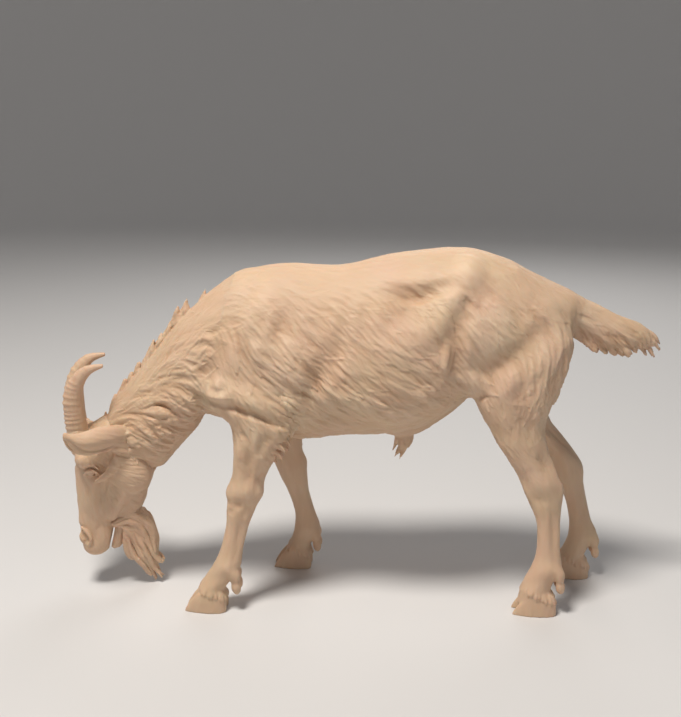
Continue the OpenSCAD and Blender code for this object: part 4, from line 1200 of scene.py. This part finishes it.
FACE_COAT = [
    [-68, 42, 250, 0.16, 4, 1.2],
    [-61.5, 47.5, 45, 0.32, 8, 1.5],
    [-57, 46.5, 30, 0.36, 8, 1.6],
    [-62, 42, 300, 0.16, 4, 1.2],
    [-56, 41, 340, 0.16, 4, 1.2],
    [-70, 34, 268, 0.08, 4, 1.2],
    [-65, 29, 275, 0.10, 3, 1.0],
    [-60, 35, 330, 0.13, 4, 1.2],
    [-55, 36, 352, 0.17, 4, 1.2],
    [-54, 31, 345, 0.17, 4, 1.2],
    [-59, 28, 310, 0.13, 4, 1.2],
    [-70, 24, 270, 0.09, 4, 1.2],
    [-64, 22, 285, 0.11, 4, 1.2],
    [-67, 14, 275, 0.03, 2, 0.8],
    [-60, 15, 275, 0.03, 2, 0.8],
    [-57, 22, 320, 0.12, 3, 1.0],
]
BEARD_PATHS = [
    [(-61.6, 18.4), (-57.9, 20.4), (-54.3, 20.0), (-51.8, 16.2), (-50.9, 11.0), (-50.8, 7.4)],
    [(-61.2, 18.0), (-57.7, 19.0), (-55.0, 17.8), (-53.0, 13.8), (-51.6, 9.6), (-50.0, 6.8), (-49.0, 6.0)],
    [(-60.0, 17.8), (-57.3, 17.2), (-55.2, 14.6), (-53.7, 10.6), (-52.3, 7.0), (-51.1, 4.2), (-49.3, 1.6)],
    [(-58.9, 17.4), (-57.3, 15.8), (-55.9, 12.4), (-54.4, 8.8), (-52.7, 5.4), (-50.9, 0.9)],
    [(-58.2, 17.0), (-57.8, 12.6), (-56.6, 9.2), (-54.8, 6.8), (-52.8, 3.4), (-52.2, 2.2)],
    [(-58.4, 17.0), (-58.4, 11.6), (-57.5, 8.4), (-55.8, 7.2)],
    [(-56.5, 21.5), (-53.0, 19.5), (-51.2, 15.0), (-50.7, 11.0), (-50.9, 8.4)],
    [(-57.0, 20.0), (-54.2, 16.5), (-52.6, 12.0), (-51.6, 7.6), (-50.6, 5.2)],
]


def finish_clay(clay, coat, seed, strand, comb_size):
    """Meshes a piece of clay and combs its coat into it."""
    rng = np.random.default_rng(seed)
    points, faces = clay.mesh()
    normals = vertex_normals(points, faces)
    way, tall, long, wide = hair_way(points, normals, coat)
    hair = comb(points, normals, way, tall, long, wide, comb_size, rng, Bins(points, 1.0))
    broad = strand_height(points, normals, coat, 0.2, 1.0, 6, rng)
    fine = strand_height(points, normals, coat, 0.12, strand, 4, rng)
    hair += broad * tall * 0.22 + fine * (0.008 + tall * 0.26)
    points = points + normals * hair[:, None]
    # How low each point sits in its coat, which the resin turns into painted shade in the hollows and a
    # painted lighter tone on raised locks.
    painted_shade = hair - tall * 0.7
    return points, faces, np.concatenate([vertex_normals(points, faces), painted_shade[:, None]], 1)


def model_head():
    clay = Clay((-76, -12, 6), (-46, 12, 52), HEAD_STEP)
    clay.add_loft(HEAD, 0.1, 64, 8)
    clay.add_loft(JAW, 1.6)
    clay.blob((-68.4, 0, 42.0), (3.4, 3.6, 3.4), 1.5)  # between the horns
    lower_lip = [(-59.4, 0, 17.4), (-60.4, 0, 14.2), (-61.4, 0, 11.9), (-61.8, 0, 11.0)]
    clay.tube(lower_lip, [1.8, 1.6, 1.1, 0.7], 0.5)
    for side in (LEFT, RIGHT):
        for sign, (x, y, z), radii, k, lean in FACE_BLOBS:
            clay.blob((x, side * y, z), radii, k, lean, sign)
        for sign, path, radii, k in FACE_TUBES:
            clay.tube([(x, side * y, z) for x, y, z in path], radii, k, sign)
        x, y, z = EYE
        clay.blob((x, side * y, z), (1.45, 1.4, 1.35), 0.12)
        for path, radius in EYELIDS:
            clay.tube([(x, side * y, z) for x, y, z in path], [radius * 0.6, radius, radius * 0.6], 0.3)
        clay.blob((-59.6, side * 6.6, 43.0), (3.0, 2.2, 2.2), 1.4)  # root of the ear
        clay.tube([(-68.4, side * 2.6, 40.5), (-68.9, side * 2.9, 44.4)], [2.9, 2.5], 0.8)  # root of the horn
    clay.blob((MOUTH_X, 0, MOUTH_Z), (0.34, 6.0, 5.0), 0.2, MOUTH_LEAN, -1)
    # the groove of the upper lip
    clay.tube([(-71.4, 0, 14.2), (-70.2, 0, 11.6), (-68.0, 0, 9.6)], [0.3, 0.4, 0.3], 0.5, -1)
    rng = np.random.default_rng(3)
    for _ in range(FOREHEAD_LOCKS):
        y = rng.uniform(-3.4, 3.4)
        x, z = -69.5 + abs(y) * 0.4 + rng.uniform(-0.6, 2.2), 41.5 + rng.uniform(-2.5, 2.5)
        clay.tube([(x + 2.2, y * 0.8, z + 1.6), (x, y, z), (x - 1.2, y * 1.1, z - 2.0)], [0.7, 0.6, 0.1], 0.4)
    return finish_clay(clay, FACE_COAT, 21, 0.45, 1.1)


def model_beard():
    rng = np.random.default_rng(5)
    clay = Clay((-65, -5.5, -0.6), (-46, 5.5, 25), SMALL_STEP)
    clay.add_loft([
        [-52.2, 0, 6, 90, 0.8, 0.6, 0],
        [-54.0, 0, 9.5, 90, 2.2, 1.5, 0],
        [-54.6, 0, 13.0, 90, 2.9, 2.2, 0],
        [-55.4, 0, 16.5, 88, 3.4, 2.7, 0],
        [-56.4, 0, 20.5, 80, 3.6, 2.8, 0],
        [-56.8, 0, 22.5, 80, 2.6, 2.2, 0],
    ], 0.1)
    for lane, (n, path) in itertools.product(BEARD_LANES, enumerate(BEARD_PATHS)):
        wide = 2.4 if n < CHIN_PATHS else 1.4
        points = []
        for i, (x, z) in enumerate(path):
            t = i / (len(path) - 1)
            y = lane * wide * (1 - 0.75 * t ** 1.5) + rng.uniform(-0.35, 0.35) * (0.5 + t)
            shift = 0 if lane == -1 else rng.uniform(-0.5, 0.5)
            points.append((x + shift * t, y, max(z + shift * t, 0.4)))
        clay.tube(points, [0.5, 0.75, 0.8, 0.65, 0.45, 0.12], 0.15)
    coat = [[-60, 19, 350, 0.10, 3, 0.8], [-54, 19, 320, 0.26, 5, 0.8], [-51, 12, 272, 0.28, 5, 0.8],
            [-55, 12, 295, 0.28, 5, 0.8], [-57, 10, 285, 0.16, 4, 0.8], [-51, 4, 295, 0.10, 3, 0.8]]
    return finish_clay(clay, coat, 22, 0.4, 0.9)


def horn_rows(side):
    """The horn's core with growth rings, close and strong near the base, fading to a smooth tip."""
    back, up = (1.2, 0.6) if side == RIGHT else (0.0, 0.0)
    core = flow([
        [-68.7 - back * 0.5, side * 2.7, 41.5, 86, 2.5, 1.9, 0],
        [-69.2 - back, side * 3.1, 45.5, 94, 2.75, 2.0, 0],
        [-69.6 - back, side * 3.6, 51, 92, 2.6, 1.9, 0],
        [-69.4 - back, side * 4.2, 55.4 + up * 0.3, 80, 2.35, 1.7, 0],
        [-67.8 - back, side * 4.8, 59.4 + up, 62, 1.85, 1.4, 0],
        [-65.0 - back, side * 5.3, 62.1 + up, 36, 1.25, 1.0, 0],
        [-61.2 - back, side * 5.5, 63.2 + up * 0.6, 3, 0.45, 0.45, 0],
    ], 40)
    along = np.concatenate([[0], np.cumsum(np.linalg.norm(np.diff(core[:, :3], axis=0), axis=1))])
    share = along / along[-1]
    place = 19 * share ** 0.85 + 0.2 * np.sin(share * 23 + side)
    ridge = (0.5 - 0.5 * np.cos(place * 2 * math.pi)) ** 1.5
    strength = np.clip((share - 0.05) / 0.07, 0, 1) * np.clip((0.9 - share) / 0.35, 0, 1) ** 0.6
    out = 0.10 * ridge * strength * (1 + 0.35 * np.sin(share * 31) + 0.2 * np.sin(share * 77))
    tilt = np.radians(core[:, 3])
    core[:, 4] += out
    core[:, 5] += out * 0.8
    core[:, 0] -= np.sin(tilt) * out * 1.1
    core[:, 2] += np.cos(tilt) * out * 1.1
    return core


def model_horn(side):
    low = (-76, min(side * 0.2, side * 8.5), 40)
    high = (-58, max(side * 0.2, side * 8.5), 67)
    clay = Clay(low, high, SMALL_STEP)
    clay.add_loft(horn_rows(side), 0.05, 64, 1)
    coat = [[-69, 45, 94, 0.03, 5, 0.9], [-69, 55, 80, 0.03, 5, 0.9], [-66, 61, 50, 0.02, 5, 0.9],
            [-62, 63, 10, 0.01, 5, 0.9]]
    return finish_clay(clay, coat, 23, 0.4, 1.4)


EAR_DROOP = {LEFT: 0, RIGHT: 1}  # the far ear hangs lower
# The near and the far rim of the ear, given for the right side: x, y, z, how much lower with the droop.
EAR_RIMS = (
    [(-70.6, 13.4, 47.0, 7), (-69.5, 13.0, 45.9, 6.3), (-68.2, 12.4, 44.1, 5.4), (-66.5, 11.6, 42.4, 4.2),
     (-64.0, 10.8, 41.8, 3.4), (-61.2, 9.6, 41.8, 2.4), (-58.6, 8.2, 43.2, 1.6)],
    [(-70.8, 13.0, 46.6, 7), (-70.5, 11.4, 44.4, 6.3), (-69.8, 10.6, 42.8, 5.8), (-68.4, 10.0, 41.6, 5),
     (-67.0, 9.8, 41.1, 4.4), (-65.0, 9.6, 41.2, 3.6)],
)


def ear_rows(side):
    droop = EAR_DROOP[side]
    return [
        [-70.6, side * 13.4, 47.0 - droop * 7, 196, 0.35, 0.35, 0, 0],
        [-69.5, side * 12.9, 46.7 - droop * 6, 194, 0.8, 0.5, 0, side * 0.4],
        [-66.4, side * 11.6, 45.1 - droop * 4.6, 188, 2.3, 0.55, 0, side * 1.2],
        [-62.6, side * 9.9, 45.1 - droop * 3, 182, 3.1, 0.6, 0, side * 1.6],
        [-58.8, side * 8.0, 45.3 - droop * 1.6, 178, 2.8, 0.9, 0, side * 1.0],
        [-55.6, side * 5.6, 45.0 - droop, 175, 2.2, 1.4, 0, side * 0.3],
    ]


def model_ear(side):
    rows = ear_rows(side)
    y = sorted((side * 3.0, side * 16.5))
    clay = Clay((-74, y[0], 33), (-52, y[1], 51), SMALL_STEP)
    clay.add_loft(rows, 0.05, 64, 8)
    droop = EAR_DROOP[side]
    near_rim, far_rim = ([(x, side * y, z - droop * low) for x, y, z, low in rim] for rim in EAR_RIMS)
    middle = [tuple((np.array(a) + np.array(b)) / 2 + np.array([0.4, 0, 0.6]))
              for a, b in zip(near_rim, far_rim)]
    clay.tube(middle, [0.5, 1.2, 1.5, 1.5, 1.3, 0.8], 0.4)
    mouth = [tuple(np.array(p) + np.array([-1.0, side * 0.1, -0.9])) for p in middle]
    clay.tube(mouth, [0.3, 0.95, 1.25, 1.2, 0.8, 0.3], 0.2, -1)
    clay.tube(near_rim, [0.22, 0.36, 0.42, 0.45, 0.45, 0.45, 0.4], 0.3)
    clay.tube(far_rim, [0.22, 0.36, 0.42, 0.4, 0.35, 0.25], 0.3)
    rng = np.random.default_rng(9)
    for n in range(EAR_LOCKS):
        z0 = 41.4 + n * 0.95 - droop * 1.6
        y0 = side * (8.6 + rng.uniform(-0.2, 0.4))
        clay.tube([(-60.5, y0, z0 + 0.3), (-58.0, y0 - side * 0.9, z0),
                   (-55.4, y0 - side * 2.2, z0 - 1.6 - rng.uniform(0, 1))], [0.3, 0.6, 0.15], 0.5)
    coat = [[-70, 44, 355, 0.05, 4, 1.0], [-64, 46, 350, 0.06, 4, 1.0], [-64, 42, 345, 0.06, 4, 1.0],
            [-58, 44, 335, 0.12, 4, 1.1], [-64, 38, 345, 0.06, 4, 1.0]]
    return finish_clay(clay, coat, 24, 0.45, 1.1)


def part_head():
    points, faces, extra = model_head()
    x, z = points[:, 0], points[:, 2]
    above = (z - JAW_TOP_Z) - (x - JAW_TOP_X) * JAW_TOP_SLOPE
    before = (z - MOUTH_Z) * MOUTH_SIN - (x - MOUTH_X) * MOUTH_COS
    jaw, head = part(points, faces, extra, np.maximum(before, above * 0.7))
    return {"head": head, "lower_jaw": jaw, "beard": model_beard(),
            "left_horn": model_horn(LEFT), "right_horn": model_horn(RIGHT),
            "left_ear": model_ear(LEFT), "right_ear": model_ear(RIGHT)}


# ---------- objects ----------
def cast(node, points, faces, extra, turned=0.0):
    """Makes a Blender object of a piece of clay, which stands for a CAD node."""
    name = "goat_" + node
    points, faces, extra = largest_shell(points, faces, extra)
    normals = extra[:, :3] / np.maximum(np.linalg.norm(extra[:, :3], axis=1, keepdims=True), 1e-9)
    if turned:
        points = turn_points(points, turned)
        normals = turn_points(normals, turned, 0.0)
    points = points + np.array([FOOT_SHIFT, 0, 0])
    mesh = bpy.data.meshes.new(name)
    mesh.vertices.add(len(points))
    mesh.vertices.foreach_set("co", (points * MM).astype(np.float32).ravel())
    mesh.loops.add(len(faces) * 3)
    mesh.loops.foreach_set("vertex_index", faces.astype(np.int32).ravel())
    mesh.polygons.add(len(faces))
    mesh.polygons.foreach_set("loop_start", np.arange(0, len(faces) * 3, 3, dtype=np.int32))
    mesh.update()
    mesh.polygons.foreach_set("use_smooth", np.ones(len(faces), bool))
    mesh.normals_split_custom_set_from_vertices(normals.astype(np.float32))
    # The 'relief' attribute carries the painted shade of the hollows to the material.
    painted_shade = mesh.attributes.new("relief", "FLOAT", "POINT")
    painted_shade.data.foreach_set("value", extra[:, 3].astype(np.float32))
    obj = bpy.data.objects.new(name, mesh)
    bpy.context.scene.collection.objects.link(obj)
    mesh.materials.append(RESIN)
    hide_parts(node)
    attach(obj, "root")
    return obj


def node_material(name, base, metallic, roughness):
    m = bpy.data.materials.new(name)
    m.use_nodes = True
    shader = m.node_tree.nodes["Principled BSDF"]
    shader.inputs["Base Color"].default_value = base + (1.0,)
    shader.inputs["Metallic"].default_value = metallic
    shader.inputs["Roughness"].default_value = roughness
    return m, shader


def add_node(material, kind, inputs=(), **properties):
    """A new shader node with these properties and input values."""
    node = material.node_tree.nodes.new("ShaderNode" + kind)
    for key, value in properties.items():
        setattr(node, key, value)
    for key, value in dict(inputs).items():
        node.inputs[key].default_value = value
    return node


# Painted shade for the hollows of the coat and a painted lighter tone for its raised locks, blended by the
# 'relief' value.
PAINTED_SHADE_COLOUR, PAINTED_LIT_COLOUR = (0.57, 0.375, 0.245, 1), (0.715, 0.535, 0.385, 1)


def resin_material():
    """Matte cast resin: even colour with painted shade darkening the hollows of the coat and a painted
    lighter tone on its raised locks, and a faint grain.
    """
    m, shader = node_material("figurine_resin", (0.68, 0.49, 0.34), 0.0, 0.55)
    link = m.node_tree.links.new
    shader.inputs["Specular IOR Level"].default_value = 0.35
    shader.inputs["Subsurface Weight"].default_value = 0.25
    shader.inputs["Subsurface Radius"].default_value = (1.0, 0.45, 0.25)
    shader.inputs["Subsurface Scale"].default_value = 0.0012
    place = add_node(m, "TexCoord")
    # The 'relief' value drives the painted shade: low points get the darker colour and raised locks the
    # lighter one.
    painted_shade_value = add_node(m, "Attribute", attribute_name="relief")
    ramp = add_node(m, "MapRange", {"From Min": -0.5, "From Max": 0.5})
    mottle = add_node(m, "TexNoise", {"Scale": 90.0, "Detail": 3.0})
    painted_shade_mix = add_node(m, "Mix", {"A": PAINTED_SHADE_COLOUR, "B": PAINTED_LIT_COLOUR}, data_type="RGBA")
    tint = add_node(m, "Mix", {"Factor": 0.10}, data_type="RGBA", blend_type="MULTIPLY")
    grain = add_node(m, "TexNoise", {"Scale": 2200.0, "Detail": 4.0})
    bump = add_node(m, "Bump", {"Strength": 0.25, "Distance": 0.00006})
    rough = add_node(m, "MapRange", {"To Min": 0.50, "To Max": 0.66})
    link(painted_shade_value.outputs["Fac"], ramp.inputs["Value"])
    link(place.outputs["Object"], mottle.inputs["Vector"])
    link(ramp.outputs["Result"], painted_shade_mix.inputs["Factor"])
    link(painted_shade_mix.outputs["Result"], tint.inputs["A"])
    link(mottle.outputs["Color"], tint.inputs["B"])
    link(tint.outputs["Result"], shader.inputs["Base Color"])
    link(place.outputs["Object"], grain.inputs["Vector"])
    link(grain.outputs["Fac"], bump.inputs["Height"])
    link(bump.outputs["Normal"], shader.inputs["Normal"])
    link(mottle.outputs["Fac"], rough.inputs["Value"])
    link(rough.outputs["Result"], shader.inputs["Roughness"])
    return m


def vary_roughness(m, shader, scale, low, high, vector=None):
    """Lets fine noise change the roughness between low and high."""
    noise = add_node(m, "TexNoise", {"Scale": scale})
    spread = add_node(m, "MapRange", {"To Min": low, "To Max": high})
    if vector:
        m.node_tree.links.new(vector, noise.inputs["Vector"])
    m.node_tree.links.new(noise.outputs["Fac"], spread.inputs["Value"])
    m.node_tree.links.new(spread.outputs["Result"], shader.inputs["Roughness"])


def metal_material(name, base, roughness):
    m, shader = node_material(name, base, 1.0, roughness)
    place = add_node(m, "TexCoord").outputs["Object"]
    vary_roughness(m, shader, 900.0, roughness - 0.08, roughness + 0.12, place)
    return m


RESIN = resin_material()
METAL_PARTS = (
    (metal_material("wire_steel", (0.56, 0.57, 0.60), 0.34),
     ("front_left_wire", "front_right_wire", "hind_left_wire", "hind_right_wire")),
    (metal_material("pin_brass", (0.78, 0.57, 0.24), 0.30),
     ("neck_dowels", "head_dowel", "horn_pins", "tail_pin")),
)

for node, piece in part_body().items():
    cast(node, *piece)
for node, piece in part_head().items():
    cast(node, *piece, HEAD_TURN)
for metal, nodes in METAL_PARTS:
    for node in nodes:
        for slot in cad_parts[node].material_slots:
            slot.material = metal


# ---------- floor, light and camera ----------
def floor():
    """A plain pale floor that sweeps up all round into a low wall, so that no edge shows."""
    m, shader = node_material("floor_paint", (0.66, 0.66, 0.67), 0.0, 0.85)
    vary_roughness(m, shader, 30.0, 0.80, 0.90)
    flat, bend, wall, around = 0.9, 0.7, 1.3, 96
    profile = [(0.02, 0.0), (0.4, 0.0)]
    quarter = np.linspace(0, math.pi / 2, 24)
    profile += [(flat + bend * math.sin(a), bend - bend * math.cos(a)) for a in quarter]
    profile.append((flat + bend, wall))
    verts = [(r * math.cos(t), r * math.sin(t), z)
             for r, z in profile for t in np.linspace(0, 2 * math.pi, around, endpoint=False)]
    faces = [tuple(range(around))]
    for i in range(len(profile) - 1):
        for j in range(around):
            k = (j + 1) % around
            faces.append((i * around + j, (i + 1) * around + j, (i + 1) * around + k, i * around + k))
    mesh = bpy.data.meshes.new("studio_floor")
    mesh.from_pydata(verts, [], faces)
    mesh.polygons.foreach_set("use_smooth", [True] * len(faces))
    mesh.materials.append(m)
    obj = bpy.data.objects.new("studio_floor", mesh)
    bpy.context.scene.collection.objects.link(obj)


def aim(obj, way):
    obj.rotation_euler = way.to_track_quat("-Z", "Y").to_euler()


def add_light(name, kind, place, watts, colour, **how):
    data = bpy.data.lights.new(name, kind)
    data.energy = watts
    data.color = colour
    for key, value in how.items():
        setattr(data, key, value)
    obj = bpy.data.objects.new(name, data)
    obj.location = place
    bpy.context.scene.collection.objects.link(obj)
    return obj


floor()
MIDDLE = Vector((0.0, 0.0, 0.05))
# The key is a bare soft bulb, which lights the floor all round without an edge.
add_light("key", "POINT", (-0.12, -0.18, 0.54), 12.5, (1.0, 0.94, 0.86), shadow_soft_size=0.07)
for name, place, size, watts, colour in (
        ("fill", (0.45, -0.40, 0.22), 0.50, 0.20, (0.95, 0.97, 1.0)),
        ("back", (0.10, 0.45, 0.40), 0.40, 0.8, (1.0, 0.97, 0.93))):
    aim(add_light(name, "AREA", place, watts, colour, shape="DISK", size=size), MIDDLE - Vector(place))
world = bpy.data.worlds.new("studio")
world.use_nodes = True
sky = world.node_tree.nodes["Background"].inputs
sky["Color"].default_value = (0.80, 0.80, 0.82, 1)
sky["Strength"].default_value = 0.12
bpy.context.scene.world = world
bpy.context.scene.view_settings.view_transform = "Standard"

CAMERA_AZIMUTH, CAMERA_ELEVATION = math.radians(3.0), math.radians(14.0)
CAMERA_DISTANCE = 0.257
CAMERA_CENTRE = Vector((-0.00375, 0.0, 0.0644))
away = Vector((math.sin(CAMERA_AZIMUTH) * math.cos(CAMERA_ELEVATION),
               -math.cos(CAMERA_AZIMUTH) * math.cos(CAMERA_ELEVATION), math.sin(CAMERA_ELEVATION)))
camera = bpy.data.objects.new("camera", bpy.data.cameras.new("camera"))
camera.data.lens = 50.0
camera.data.sensor_width = 36.0
camera.data.clip_start = 0.01
camera.location = CAMERA_CENTRE + away * CAMERA_DISTANCE
aim(camera, -away)
bpy.context.scene.collection.objects.link(camera)
bpy.context.scene.camera = camera
